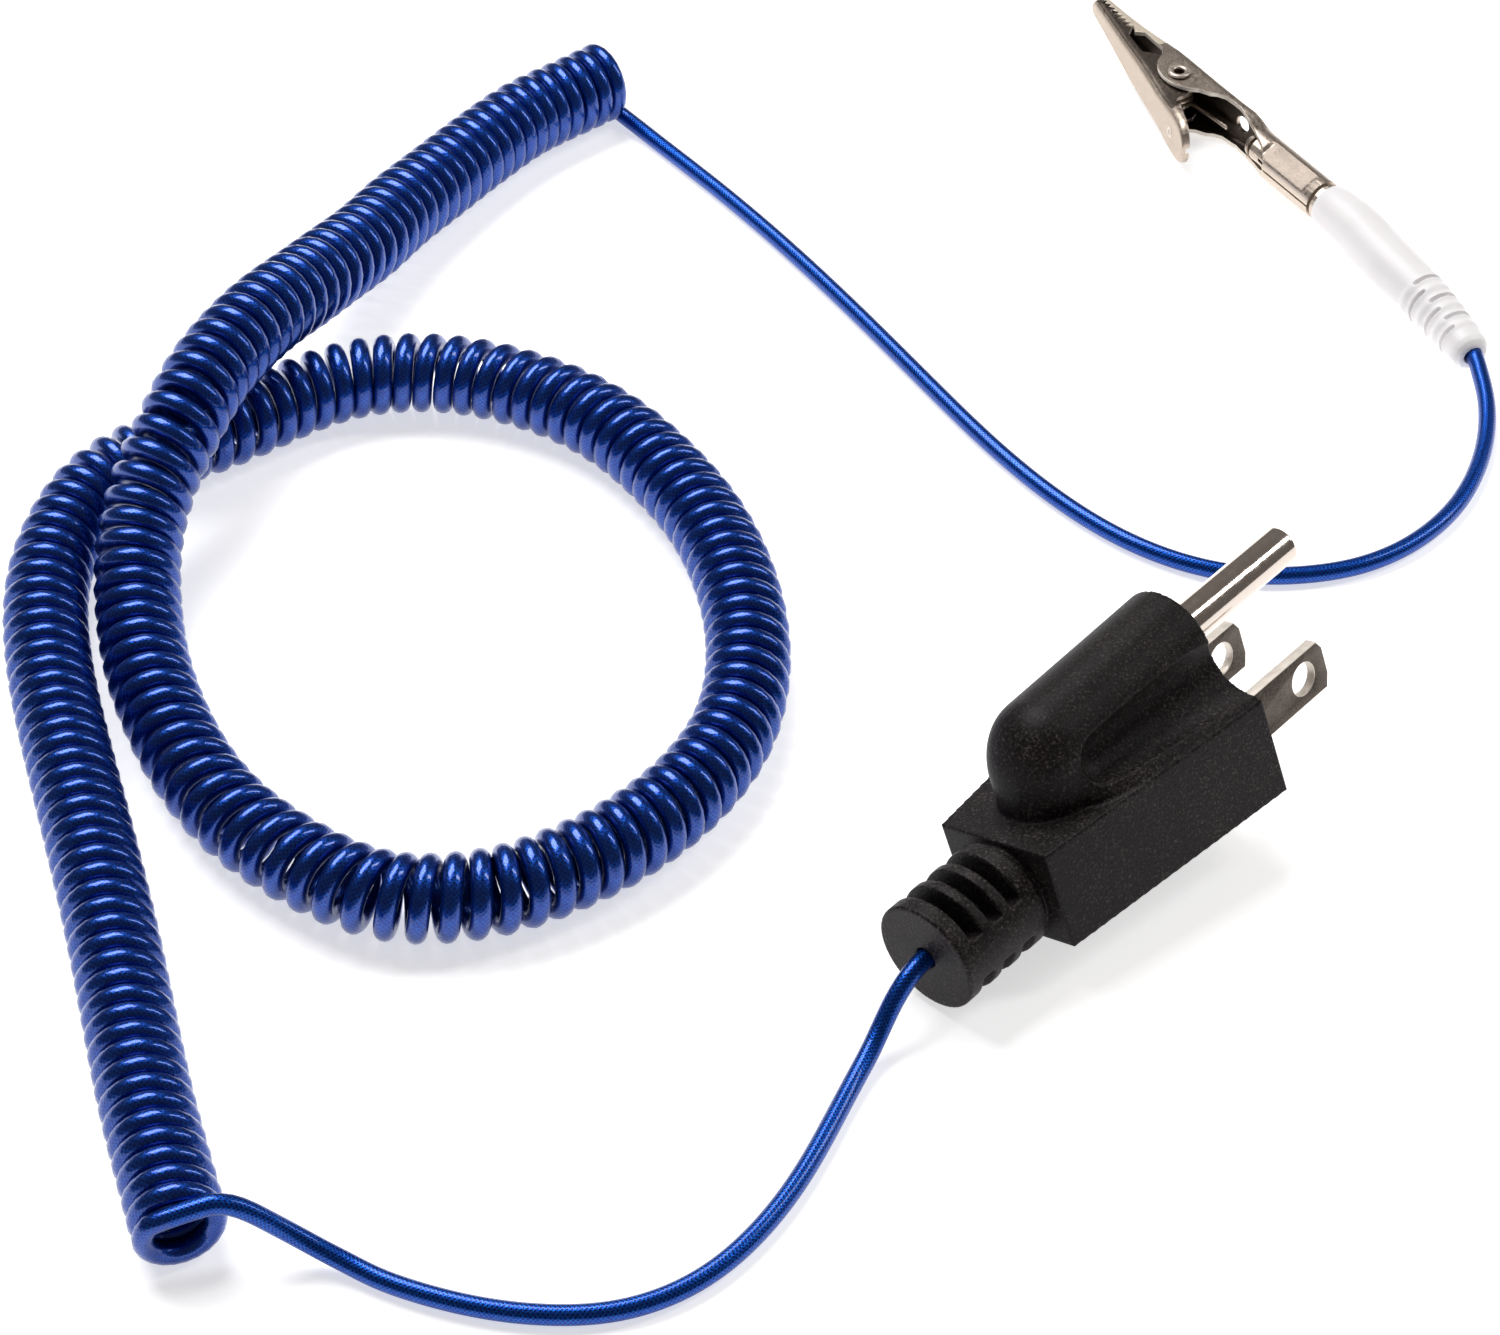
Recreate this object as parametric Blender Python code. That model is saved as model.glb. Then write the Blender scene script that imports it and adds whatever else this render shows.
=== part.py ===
"""Coiled ESD grounding cord, lying on a surface: a moulded three-prong plug with a series resistor inside, a
curly polyurethane cord, and an alligator clip that slips onto a banana plug at the cord's far end.

Units are metres, +Z is up, and the surface is Z = 0. The origin is under the middle of the plug and clip.
"""

import math

import bmesh
import bpy
import numpy as np
from mathutils import Matrix, Vector

MM = 0.001
GAP = 0.3 * MM  # clearance between pieces that touch

# Cord
CORD_RADIUS = 1.15 * MM
COIL_RADIUS = 5.25 * MM  # outside radius of the curly stretch
COIL_END_RADIUS = 5.7 * MM  # it is wound a little wider at its far end

# Plug: local X across the blades, Y out along the pins, Z towards the ground pin
PLUG_PLACE = (-5.3 * MM, -60.9 * MM, 10.7 * MM)
PLUG_YAW, PLUG_PITCH, PLUG_ROLL = (math.radians(a) for a in (-43.5, 3.2, -21.1))
BLADE_OFFSET = 6.35 * MM
BLADE_LENGTH, BLADE_HEIGHT, BLADE_THICK = 16.2 * MM, 6.35 * MM, 1.5 * MM
BLADE_HOLE_AT, BLADE_HOLE_RADIUS = 11.9 * MM, 2.0 * MM
PIN_RISE = 11.9 * MM
PIN_LENGTH, PIN_RADIUS = 21.3 * MM, 2.4 * MM
BLOCK_LENGTH = 33.4 * MM
BLOCK_FRONT, BLOCK_REAR = 12.2 * MM, 8.2 * MM  # half widths
BLOCK_TOP, BLOCK_BOTTOM = 6.1 * MM, -6.5 * MM
HOOD_RADIUS = 6.4 * MM
RELIEF_LENGTH, RELIEF_RADIUS = 13.9 * MM, 6.75 * MM
RELIEF_Z = -0.45 * MM
RELIEF_END = -BLOCK_LENGTH - RELIEF_LENGTH
INSERT_FRONT, INSERT_REAR = -3.0 * MM, -8.8 * MM

# Clip: local X from the barrel's rear end to the jaws, Y towards the thumb lever, Z along the rivet
CLIP_PLACE = (22.4 * MM, 50.4 * MM, 4.35 * MM)
CLIP_HEADING = math.radians(121.6)
SHEET = 0.6 * MM
BARREL_LENGTH, BARREL_RADIUS = 13.0 * MM, 2.85 * MM
RIVET_AT = (31.0 * MM, 2.2 * MM)
RIVET_RADIUS = 1.15 * MM
EAR_RADIUS, EAR_CENTRE = 5.9 * MM, (31.2 * MM, -1.45 * MM)
EAR_HALF = 3.8 * MM  # half width outside, across the frame's ears
TEETH, TOOTH_PITCH, TOOTH_DEPTH = 8, 1.15 * MM, 0.65 * MM

# Routes, by hand, in millimetres. The coil's route is its middle line, from the clip's end to the plug's end.
COIL_ROUTE = (
    (-77.4, 77.8, 5.8), (-83.7, 72.5, 5.8), (-88.6, 68.3, 5.8), (-93.1, 62.9, 5.8), (-97.1, 57.3, 5.9),
    (-101.2, 50.8, 6.3), (-105.2, 43.7, 7.2), (-108.7, 35.5, 8.6), (-112.4, 27.4, 10.6), (-115.9, 19.3, 12.8),
    (-119.4, 11.5, 14.9), (-122.7, 3.4, 16.3), (-125.7, -4.8, 16.7), (-128.1, -12.4, 15.6), (-130.7, -19.4, 12.6),
    (-132.1, -26.9, 9.2), (-131.6, -35.2, 6.8), (-129.2, -46.4, 5.6), (-125.5, -56.2, 5.3), (-121.3, -64.4, 5.3),
    (-116.0, -71.5, 5.3), (-110.2, -76.8, 5.3), (-104.0, -81.0, 5.3), (-97.8, -83.5, 5.3), (-91.4, -83.8, 5.3),
    (-85.2, -82.6, 5.3), (-79.2, -79.9, 5.3), (-73.2, -76.0, 5.3), (-67.7, -71.0, 5.3), (-62.8, -64.6, 5.3),
    (-59.0, -56.5, 5.3), (-57.3, -46.6, 5.3), (-57.7, -36.3, 5.3), (-59.7, -26.7, 5.3), (-63.1, -17.6, 5.3),
    (-67.8, -9.4, 5.3), (-73.5, -1.9, 5.3), (-79.9, 3.8, 5.3), (-87.0, 7.8, 5.3), (-94.4, 10.3, 5.3),
    (-101.9, 10.9, 5.3), (-109.3, 9.4, 5.3), (-116.4, 5.5, 5.3), (-122.6, 0.9, 5.3), (-128.2, -2.7, 5.3),
    (-133.7, -6.2, 5.3), (-138.8, -11.2, 5.3), (-142.2, -19.5, 5.3), (-143.4, -29.4, 5.3), (-142.4, -39.6, 5.3),
    (-139.8, -51.0, 5.3), (-136.7, -61.6, 5.3), (-133.2, -73.0, 5.3), (-130.3, -82.6, 5.3), (-127.7, -91.7, 5.3),
    (-125.4, -100.3, 5.3), (-123.2, -108.6, 5.3), (-120.9, -116.6, 5.3), (-118.4, -124.4, 5.3),
    (-115.9, -132.2, 5.3),
)
CLIP_LEAD_ROUTE = (
    (-74.2, 73.9, 1.2), (-71.0, 69.7, 1.2), (-63.1, 59.4, 1.2), (-54.6, 47.6, 1.2), (-46.7, 35.6, 1.2),
    (-39.2, 23.4, 1.2), (-32.0, 11.3, 1.2), (-25.0, 0.1, 1.2), (-17.4, -10.0, 1.2), (-9.6, -17.6, 1.2),
    (-2.0, -22.2, 1.2), (5.6, -24.3, 1.2), (13.4, -24.1, 1.2), (18.7, -22.8, 1.2), (23.9, -20.2, 1.2),
    (28.9, -16.1, 1.2), (33.3, -10.6, 1.2), (36.7, -3.9, 1.3), (38.9, 3.4, 1.6), (39.6, 9.5, 2.2),
    (39.4, 14.6, 2.7),
)
PLUG_LEAD_ROUTE = (
    (-111.2, -130.8, 9.35), (-108.6, -130.7, 8.7), (-106.2, -131.1, 7.3), (-103.8, -131.8, 5.4),
    (-101.2, -132.6, 3.4), (-98.2, -133.6, 1.9), (-94.6, -134.9, 1.25), (-86.4, -137.8, 1.2), (-78.1, -139.3, 1.2),
    (-70.4, -138.5, 1.2), (-62.8, -135.0, 1.2), (-56.4, -128.6, 1.2), (-51.1, -119.9, 1.2), (-47.4, -111.6, 1.2),
    (-45.2, -106.6, 1.4), (-43.7, -103.6, 2.1), (-42.5, -101.4, 3.4), (-41.5, -99.9, 4.9), (-40.4, -98.5, 6.3),
    (-39.2, -97.1, 7.3), (-38.1, -95.9, 7.75),
)


# ---------------------------------------------------------------- tools


def clear_scene():
    for obj in list(bpy.data.objects):
        bpy.data.objects.remove(obj, do_unlink=True)


def material(name, color, roughness, metallic=0.0):
    mat = bpy.data.materials.new(name)
    mat.use_nodes = True
    shader = mat.node_tree.nodes["Principled BSDF"]
    shader.inputs["Base Color"].default_value = (*color, 1.0)
    shader.inputs["Roughness"].default_value = roughness
    shader.inputs["Metallic"].default_value = metallic
    mat.diffuse_color = (*color, 1.0)
    return mat


def empty(name, place, rotation):
    obj = bpy.data.objects.new(name, None)
    obj.matrix_world = Matrix.Translation(place) @ rotation
    bpy.context.scene.collection.objects.link(obj)
    return obj


def add_mesh(name, bm, mat, parent, smooth=40):
    bmesh.ops.recalc_face_normals(bm, faces=bm.faces)
    mesh = bpy.data.meshes.new(name)
    bm.to_mesh(mesh)
    bm.free()
    if smooth:
        mesh.shade_smooth()
        mesh.set_sharp_from_angle(angle=math.radians(smooth))
    obj = bpy.data.objects.new(name, mesh)
    if mat:
        mesh.materials.append(mat)
    obj.parent = parent
    bpy.context.scene.collection.objects.link(obj)
    return obj


def boolean(obj, other, operation="DIFFERENCE"):
    """Cuts or joins with a helper, which stays in the scene as a hidden wire."""
    other.hide_render = True
    other.display_type = "WIRE"
    modifier = obj.modifiers.new(other.name, "BOOLEAN")
    modifier.object = other
    modifier.operation = operation
    modifier.solver = "EXACT"


def loft(bm, rings):
    """Joins rings of points, all of one length, and closes both ends."""
    made = [[bm.verts.new(p) for p in ring] for ring in rings]
    for a, b in zip(made, made[1:]):
        for i in range(len(a)):
            j = (i + 1) % len(a)
            bm.faces.new((a[i], a[j], b[j], b[i]))
    bm.faces.new(made[0])
    bm.faces.new(reversed(made[-1]))


def prism(bm, outline, low, high):
    """An outline in X and Y, drawn from Z = low to high."""
    loft(bm, [[(x, y, z) for x, y in outline] for z in (low, high)])


def box(bm, low, high):
    prism(bm, ((low[0], low[1]), (high[0], low[1]), (high[0], high[1]), (low[0], high[1])), low[2], high[2])


def circle(radius, count, centre=(0.0, 0.0), start=0.0):
    return [
        (centre[0] + radius * math.cos(start + math.tau * i / count),
         centre[1] + radius * math.sin(start + math.tau * i / count))
        for i in range(count)
    ]


def turned(bm, profile, count=24, place=Matrix.Identity(4)):
    """A turned body about local Z. The profile is (radius, z) pairs round a closed section."""
    rings = []
    for i in range(count):
        turn = math.tau * i / count
        rings.append([
            bm.verts.new(place @ Vector((r * math.cos(turn), r * math.sin(turn), z)))
            for r, z in profile
        ])
    on_axis = [abs(r) < 1e-9 for r, _ in profile]
    for i in range(count):
        a, b = rings[i], rings[(i + 1) % count]
        for k in range(len(profile)):
            m = (k + 1) % len(profile)
            if on_axis[k] and on_axis[m]:
                continue
            bm.faces.new((a[k], a[m], b[m], b[k]))
    bmesh.ops.remove_doubles(bm, verts=bm.verts, dist=1e-7)
    bmesh.ops.dissolve_degenerate(bm, dist=1e-7, edges=bm.edges)


def arc_slot(bm, inner, outer, low, high, middle, half, place, steps=8):
    """A slice of a ring: the cutter for one slot round a strain relief."""
    outline = []
    for radius, order in ((outer, 1), (inner, -1)):
        angles = [middle + half * (2 * i / steps - 1) for i in range(steps + 1)]
        outline += [(radius * math.cos(a), radius * math.sin(a)) for a in angles[::order]]
    loft(bm, [[place @ Vector((x, y, z)) for x, y in outline] for z in (low, high)])


def spline(points, count):
    """Points evenly along the natural cubic curve through the given ones."""
    points = np.array(points, float)
    steps = np.linalg.norm(np.diff(points, axis=0), axis=1)
    at = np.concatenate([[0.0], np.cumsum(steps)])
    size = len(points)
    left = np.eye(size)
    right = np.zeros((size, points.shape[1]))
    for i in range(1, size - 1):
        left[i, i - 1 : i + 2] = steps[i - 1], 2 * (steps[i - 1] + steps[i]), steps[i]
        slopes = np.diff(points[i - 1 : i + 2], axis=0) / steps[i - 1 : i + 1, None]
        right[i] = 6 * (slopes[1] - slopes[0])
    bend = np.linalg.solve(left, right)
    found = []
    for s in np.linspace(0, at[-1], count):
        i = min(int(np.searchsorted(at, s, side="right")) - 1, size - 2)
        h, u, v = steps[i], at[i + 1] - s, s - at[i]
        found.append(
            (bend[i] * u**3 + bend[i + 1] * v**3) / (6 * h)
            + (points[i] / h - bend[i] * h / 6) * u
            + (points[i + 1] / h - bend[i + 1] * h / 6) * v
        )
    return found


def tube(name, points, radius, mat, parent=None, scales=None, sides=2):
    """A solid tube along points in metres."""
    curve = bpy.data.curves.new(name, "CURVE")
    curve.dimensions = "3D"
    curve.bevel_depth = radius
    curve.bevel_resolution = sides
    curve.use_fill_caps = True
    line = curve.splines.new("POLY")
    line.points.add(len(points) - 1)
    for i, (point, place) in enumerate(zip(line.points, points)):
        point.co = (*place, 1.0)
        point.radius = scales[i] if scales else 1.0
    curve.materials.append(mat)
    obj = bpy.data.objects.new(name, curve)
    obj.parent = parent
    bpy.context.scene.collection.objects.link(obj)
    return obj


def in_metres(route):
    return [tuple(v * MM for v in point) for point in route]


# ---------------------------------------------------------------- plug


def hood_section(y, arc_steps=12, flare_steps=5):
    """The raised housing round the ground pin, cut across at y: a round crown that flares onto the block."""
    nose_start = -22.5 * MM
    nose_length = 7.0 * MM
    back = max(0.0, nose_start - y) / nose_length
    shrink = math.sqrt(max(0.0, 1.0 - back * back))
    crown = HOOD_RADIUS * shrink
    middle = PIN_RISE + 0.9 * MM * y / BLOCK_LENGTH
    middle -= (1 - shrink) * 3.2 * MM
    width_here = BLOCK_FRONT + (BLOCK_REAR - BLOCK_FRONT) * (-y / BLOCK_LENGTH)
    flare = max(0.0, 1.0 + y / (24.0 * MM))
    foot = crown + (width_here - 0.5 * MM - HOOD_RADIUS) * flare ** 0.85
    base = BLOCK_TOP - 1.0 * MM
    half = [(crown * math.cos(a), middle + crown * math.sin(a))
            for a in (math.pi / 2 * (1 - i / arc_steps) for i in range(arc_steps + 1))]
    for i in range(1, flare_steps + 1):
        t = i / flare_steps
        across = crown + (foot - crown) * t * t
        half.append((across, middle + (BLOCK_TOP + 0.05 * MM - middle) * math.sin(t * math.pi / 2)))
    half.append((foot, base))
    mirrored = [(-x, z) for x, z in reversed(half[1:])]
    return [(x, y, z) for x, z in half + mirrored]


def hood(bm):
    straight = [-i * 22.5 * MM / 9 for i in range(10)]
    nose = [-22.5 * MM - 7.0 * MM * math.sin(math.radians(a)) for a in (15, 30, 45, 58, 70, 80)]
    loft(bm, [hood_section(y) for y in straight + nose])


def rounded_slab(bm, half_front, half_rear, low, high, front, rear, radius, steps=3):
    """The plug's block: a box that narrows towards the cord, with its long edges rounded."""

    def section(y, half, shrink):
        out = []
        corners = ((half, high, 0), (-half, high, 90), (-half, low, 180), (half, low, 270))
        for x, z, start in corners:
            inset = radius
            cx, cz = x - math.copysign(inset, x), z - math.copysign(inset, z)
            for i in range(steps + 1):
                a = math.radians(start + 90 * i / steps)
                r = inset - shrink
                out.append((cx + r * math.cos(a), y, cz + r * math.sin(a)))
        return out

    edge = radius * 0.5
    loft(bm, [
        section(front, half_front, edge),
        section(front - edge, half_front, 0.0),
        section(rear + edge, half_rear, 0.0),
        section(rear, half_rear, edge),
    ])


def relief_body(bm, along_y):
    """The round strain relief, with a short neck into the block."""
    start, end = 1.5 * MM, RELIEF_LENGTH
    rim = 0.4 * MM
    profile = (
        (0.0, -start), (RELIEF_RADIUS - 0.95 * MM, -start), (RELIEF_RADIUS - 0.95 * MM, 0.5 * MM),
        (RELIEF_RADIUS, 1.1 * MM), (RELIEF_RADIUS, end - rim), (RELIEF_RADIUS - rim, end), (0.0, end),
    )
    turned(bm, profile, 32, along_y)


def plug_housing(frame, rubber):
    """The moulded body. It is hollow round the insert, open at the pins and at the cord."""
    bm = bmesh.new()
    rounded_slab(bm, BLOCK_FRONT, BLOCK_REAR, BLOCK_BOTTOM, BLOCK_TOP, 0.0, -BLOCK_LENGTH, 0.8 * MM)
    housing = add_mesh("plug_housing", bm, rubber, frame)

    bm = bmesh.new()
    hood(bm)
    boolean(housing, add_mesh("hood_form", bm, None, frame), "UNION")

    to_rear = Matrix.Translation((0, -BLOCK_LENGTH, RELIEF_Z)) @ Matrix.Rotation(math.radians(90), 4, "X")
    bm = bmesh.new()
    relief_body(bm, to_rear)
    boolean(housing, add_mesh("relief_form", bm, None, frame), "UNION")

    core, pitch, width = 3.3 * MM, 3.3 * MM, 1.9 * MM
    bm = bmesh.new()
    for i in range(3):
        low = 2.2 * MM + i * pitch
        for middle in (90, 270):
            # The slots are counted from the round end.
            arc_slot(bm, core, RELIEF_RADIUS + 1 * MM, RELIEF_LENGTH - low - width, RELIEF_LENGTH - low,
                     math.radians(middle), math.radians(68), to_rear)
    boolean(housing, add_mesh("relief_slots", bm, None, frame))

    bm = bmesh.new()
    box(bm, (-9.0 * MM, INSERT_REAR - 1 * MM, -4.2 * MM), (9.0 * MM, INSERT_FRONT + 0.8 * MM, 4.2 * MM))
    boolean(housing, add_mesh("insert_room", bm, None, frame))
    bm = bmesh.new()
    box(bm, (-3.6 * MM, -16.0 * MM, -1.0 * MM), (3.6 * MM, INSERT_FRONT + 0.81 * MM, 15.6 * MM))
    boolean(housing, add_mesh("ground_room", bm, None, frame))
    bm = bmesh.new()
    box(bm, (-3.4 * MM, -31.0 * MM, -3.4 * MM), (3.4 * MM, -9.0 * MM, 3.0 * MM))
    boolean(housing, add_mesh("resistor_room", bm, None, frame))

    bm = bmesh.new()
    for side in (-1, 1):
        x = side * BLADE_OFFSET
        wide, tall = BLADE_THICK / 2 + GAP, BLADE_HEIGHT / 2 + GAP
        box(bm, (x - wide, -3 * MM, -tall), (x + wide, 2 * MM, tall))
    boolean(housing, add_mesh("blade_slots", bm, None, frame))
    bm = bmesh.new()
    along = Matrix.Translation((0, 2 * MM, PIN_RISE)) @ Matrix.Rotation(math.radians(90), 4, "X")
    turned(bm, ((0, 0), (PIN_RADIUS + GAP, 0), (PIN_RADIUS + GAP, 6 * MM), (0, 6 * MM)), 24, along)
    boolean(housing, add_mesh("pin_bore", bm, None, frame))
    bm = bmesh.new()
    along = Matrix.Translation((0, -29 * MM, RELIEF_Z)) @ Matrix.Rotation(math.radians(90), 4, "X")
    bore = CORD_RADIUS + GAP
    turned(bm, ((0, 0), (bore, 0), (bore, 22 * MM), (0, 22 * MM)), 16, along)
    boolean(housing, add_mesh("cord_bore", bm, None, frame))


def plug_insert(frame, nylon):
    """The bridge that holds the three pins at their spacing."""
    bm = bmesh.new()
    low, high = -3.8 * MM, 3.8 * MM
    outline = (
        (-8.5 * MM, low), (8.5 * MM, low), (8.5 * MM, high), (3.2 * MM, high), (3.2 * MM, 15.2 * MM),
        (-3.2 * MM, 15.2 * MM), (-3.2 * MM, high), (-8.5 * MM, high),
    )
    loft(bm, [[(x, y, z) for x, z in outline] for y in (INSERT_FRONT, INSERT_REAR)])
    insert = add_mesh("plug_insert", bm, nylon, frame, smooth=0)
    bm = bmesh.new()
    for side in (-1, 1):
        x = side * BLADE_OFFSET
        wide, tall = BLADE_THICK / 2 + GAP, BLADE_HEIGHT / 2 + GAP
        box(bm, (x - wide, -12 * MM, -tall), (x + wide, 2 * MM, tall))
    boolean(insert, add_mesh("insert_slots", bm, None, frame))
    bm = bmesh.new()
    along = Matrix.Translation((0, 2 * MM, PIN_RISE)) @ Matrix.Rotation(math.radians(90), 4, "X")
    bore = PIN_RADIUS + GAP
    turned(bm, ((0, 0), (bore, 0), (bore, 14 * MM), (0, 14 * MM)), 24, along)
    boolean(insert, add_mesh("insert_bore", bm, None, frame))


def blade(frame, name, x, nickel):
    """A flat blade with a round hole and a chamfered tip."""
    half, chamfer = BLADE_HEIGHT / 2, 1.0 * MM
    rear = INSERT_REAR - 0.6 * MM
    outline = (
        (rear, -half), (BLADE_LENGTH - chamfer, -half), (BLADE_LENGTH, -half + 1.4 * MM),
        (BLADE_LENGTH, half - 1.4 * MM), (BLADE_LENGTH - chamfer, half), (rear, half),
    )
    thin = BLADE_THICK / 2 - 0.45 * MM
    bm = bmesh.new()
    rings = []
    for across, inset in ((-BLADE_THICK / 2, 0.0), (BLADE_THICK / 2, 0.0)):
        rings.append([(x + across, y, z) for y, z in outline])
    loft(bm, rings)
    for vert in bm.verts:
        if vert.co.y > BLADE_LENGTH - 0.01 * MM:
            vert.co.x = x + math.copysign(thin, vert.co.x - x)
    made = add_mesh(name, bm, nickel, frame, smooth=0)
    bm = bmesh.new()
    through = Matrix.Translation((x, BLADE_HOLE_AT, 0)) @ Matrix.Rotation(math.radians(90), 4, "Y")
    deep = 3 * MM
    turned(bm, ((0, -deep), (BLADE_HOLE_RADIUS, -deep), (BLADE_HOLE_RADIUS, deep), (0, deep)), 24, through)
    boolean(made, add_mesh(name + "_hole", bm, None, frame))


def ground_pin(frame, nickel):
    bm = bmesh.new()
    tip = [(PIN_RADIUS * math.cos(a), PIN_LENGTH - 2.0 * MM + 2.0 * MM * math.sin(a))
           for a in (math.radians(15 * i) for i in range(6))]
    rear = -9.6 * MM
    profile = [(0.0, rear), (PIN_RADIUS, rear), *tip, (0.0, PIN_LENGTH)]
    turned(bm, profile, 24, Matrix.Translation((0, 0, PIN_RISE)) @ Matrix.Rotation(math.radians(-90), 4, "X"))
    add_mesh("ground_pin", bm, nickel, frame)


def resistor_chain(frame, mats):
    """Ground pin to cord: crimp, insulated wire, resistor with its leads in a sleeve, and the cord's crimp."""
    bm = bmesh.new()
    back = Matrix.Translation((0, -9.9 * MM, PIN_RISE)) @ Matrix.Rotation(math.radians(90), 4, "X")
    crimp = ((1.0 * MM, 0), (1.5 * MM, 0), (1.5 * MM, 3.2 * MM), (1.0 * MM, 3.2 * MM))
    turned(bm, crimp, 16, back)
    add_mesh("ground_crimp", bm, mats["tin"], frame)

    bend = ((0, -10.4, 11.9), (0, -12.6, 11.9), (0, -14.2, 11.2), (0, -15.0, 9.6), (0, -15.2, 7.0),
            (0, -15.1, 3.6), (0, -15.6, 0.9), (0, -16.8, -0.3), (0, -18.2, -0.45))
    tube("ground_wire", spline(in_metres(bend), 22), 0.65 * MM, mats["green"], frame)

    level = RELIEF_Z

    def turned_back(name, profile, start, mat, count=16):
        made = bmesh.new()
        place = Matrix.Translation((0, start, level)) @ Matrix.Rotation(math.radians(90), 4, "X")
        turned(made, profile, count, place)
        add_mesh(name, made, mat, frame)

    def rod(radius, length):
        return ((0, 0), (radius, 0), (radius, length), (0, length))

    turned_back("resistor_lead_front", rod(0.3 * MM, 1.4 * MM), -18.5 * MM, mats["tin"], 10)
    cap, waist, length = 1.2 * MM, 1.0 * MM, 5.6 * MM
    body = ((0, 0), (cap * 0.7, 0), (cap, 0.4 * MM), (cap, 1.3 * MM), (waist, 1.7 * MM), (waist, length - 1.7 * MM),
            (cap, length - 1.3 * MM), (cap, length - 0.4 * MM), (cap * 0.7, length), (0, length))
    turned_back("resistor_body", body, -20.2 * MM, mats["beige"])
    turned_back("resistor_lead_rear", rod(0.3 * MM, 1.4 * MM), -26.1 * MM, mats["tin"], 10)
    sleeve = ((1.5 * MM, 0), (1.9 * MM, 0), (1.9 * MM, 8.6 * MM), (1.5 * MM, 8.6 * MM))
    turned_back("resistor_sleeve", sleeve, -18.7 * MM, mats["nylon"])
    crimp = ((0.6 * MM, 0), (1.1 * MM, 0), (1.1 * MM, 1.0 * MM), (0.6 * MM, 1.0 * MM))
    turned_back("cord_crimp", crimp, -27.8 * MM, mats["tin"], 12)
    turned_back("cord_end_plug", rod(CORD_RADIUS, -RELIEF_END - 29.1 * MM - GAP), -29.1 * MM, mats["blue"], 12)


# ---------------------------------------------------------------- clip


def channel_path(half, depth, bend, steps=4):
    """Half of the middle line of a channel across the sheet: from its back's middle round the bend and down a wall.
    Pairs of (z, y), the back at y = 0 and the wall towards +Y."""
    line = [(0.0, 0.0), (half - bend, 0.0)]
    for i in range(1, steps + 1):
        a = math.radians(90 * i / steps)
        line.append((half - bend + bend * math.sin(a), bend - bend * math.cos(a)))
    line.append((half, bend + (depth - bend) * 0.5))
    line.append((half, depth))
    return line


def barrel_path(radius, count, open_angle, lowered):
    """Half of a rolled barrel's middle line, with as many points as the channel's."""
    line = []
    for i in range(count):
        a = (math.pi - open_angle) * i / (count - 1)
        line.append((radius * math.sin(a), lowered - radius * math.cos(a)))
    return line


def sheet_ring(x, halves, thick):
    """A closed section of sheet metal at x, from the half line on each side of the middle."""
    left = [(-z, y) for z, y in reversed(halves[1:])]
    line = np.array(left + list(halves))
    slope = np.gradient(line, axis=0)
    normal = np.stack([-slope[:, 1], slope[:, 0]], axis=1)
    normal /= np.linalg.norm(normal, axis=1)[:, None]
    outer = line + normal * thick / 2
    inner = line - normal * thick / 2
    section = np.concatenate([outer, inner[::-1]])
    return [(x, y, z) for z, y in section]


def wavy_edge(start, end, teeth, depth, phase):
    """A row of saw teeth between two points."""
    start, end = np.array(start), np.array(end)
    along = (end - start) / teeth
    across = np.array([-along[1], along[0]])
    across *= depth / np.linalg.norm(across)
    out = []
    for i in range(teeth):
        out.append(tuple(start + along * i))
        out.append(tuple(start + along * (i + phase) + across))
    out.append(tuple(end))
    return out


def frame_outline():
    """The frame's side view, in metres: jaw with teeth, ear round the rivet, and open tail."""
    teeth = wavy_edge((55.6 * MM, -2.6 * MM), (46.2 * MM, -1.5 * MM), TEETH, -TOOTH_DEPTH, 0.35)
    ear = [(EAR_CENTRE[0] + EAR_RADIUS * math.cos(a), EAR_CENTRE[1] + EAR_RADIUS * math.sin(a))
           for a in (math.radians(d) for d in range(24, 145, 10))]
    tail = [(24.9 * MM, 1.2 * MM), (24.2 * MM, 0.4 * MM), (23.0 * MM, -0.2 * MM), (20.0 * MM, -0.5 * MM),
            (17.0 * MM, 0.0 * MM), (15.4 * MM, 0.6 * MM), (14.4 * MM, 2.0 * MM), (13.6 * MM, 6.0 * MM),
            (-2.0 * MM, 6.0 * MM), (-2.0 * MM, -6.0 * MM)]
    return [(57.0 * MM, -6.0 * MM), (56.4 * MM, -2.8 * MM), *teeth, (45.0 * MM, -0.7 * MM),
            (43.6 * MM, -1.5 * MM), (38.3 * MM, -0.4 * MM), *ear, *tail]


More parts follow.
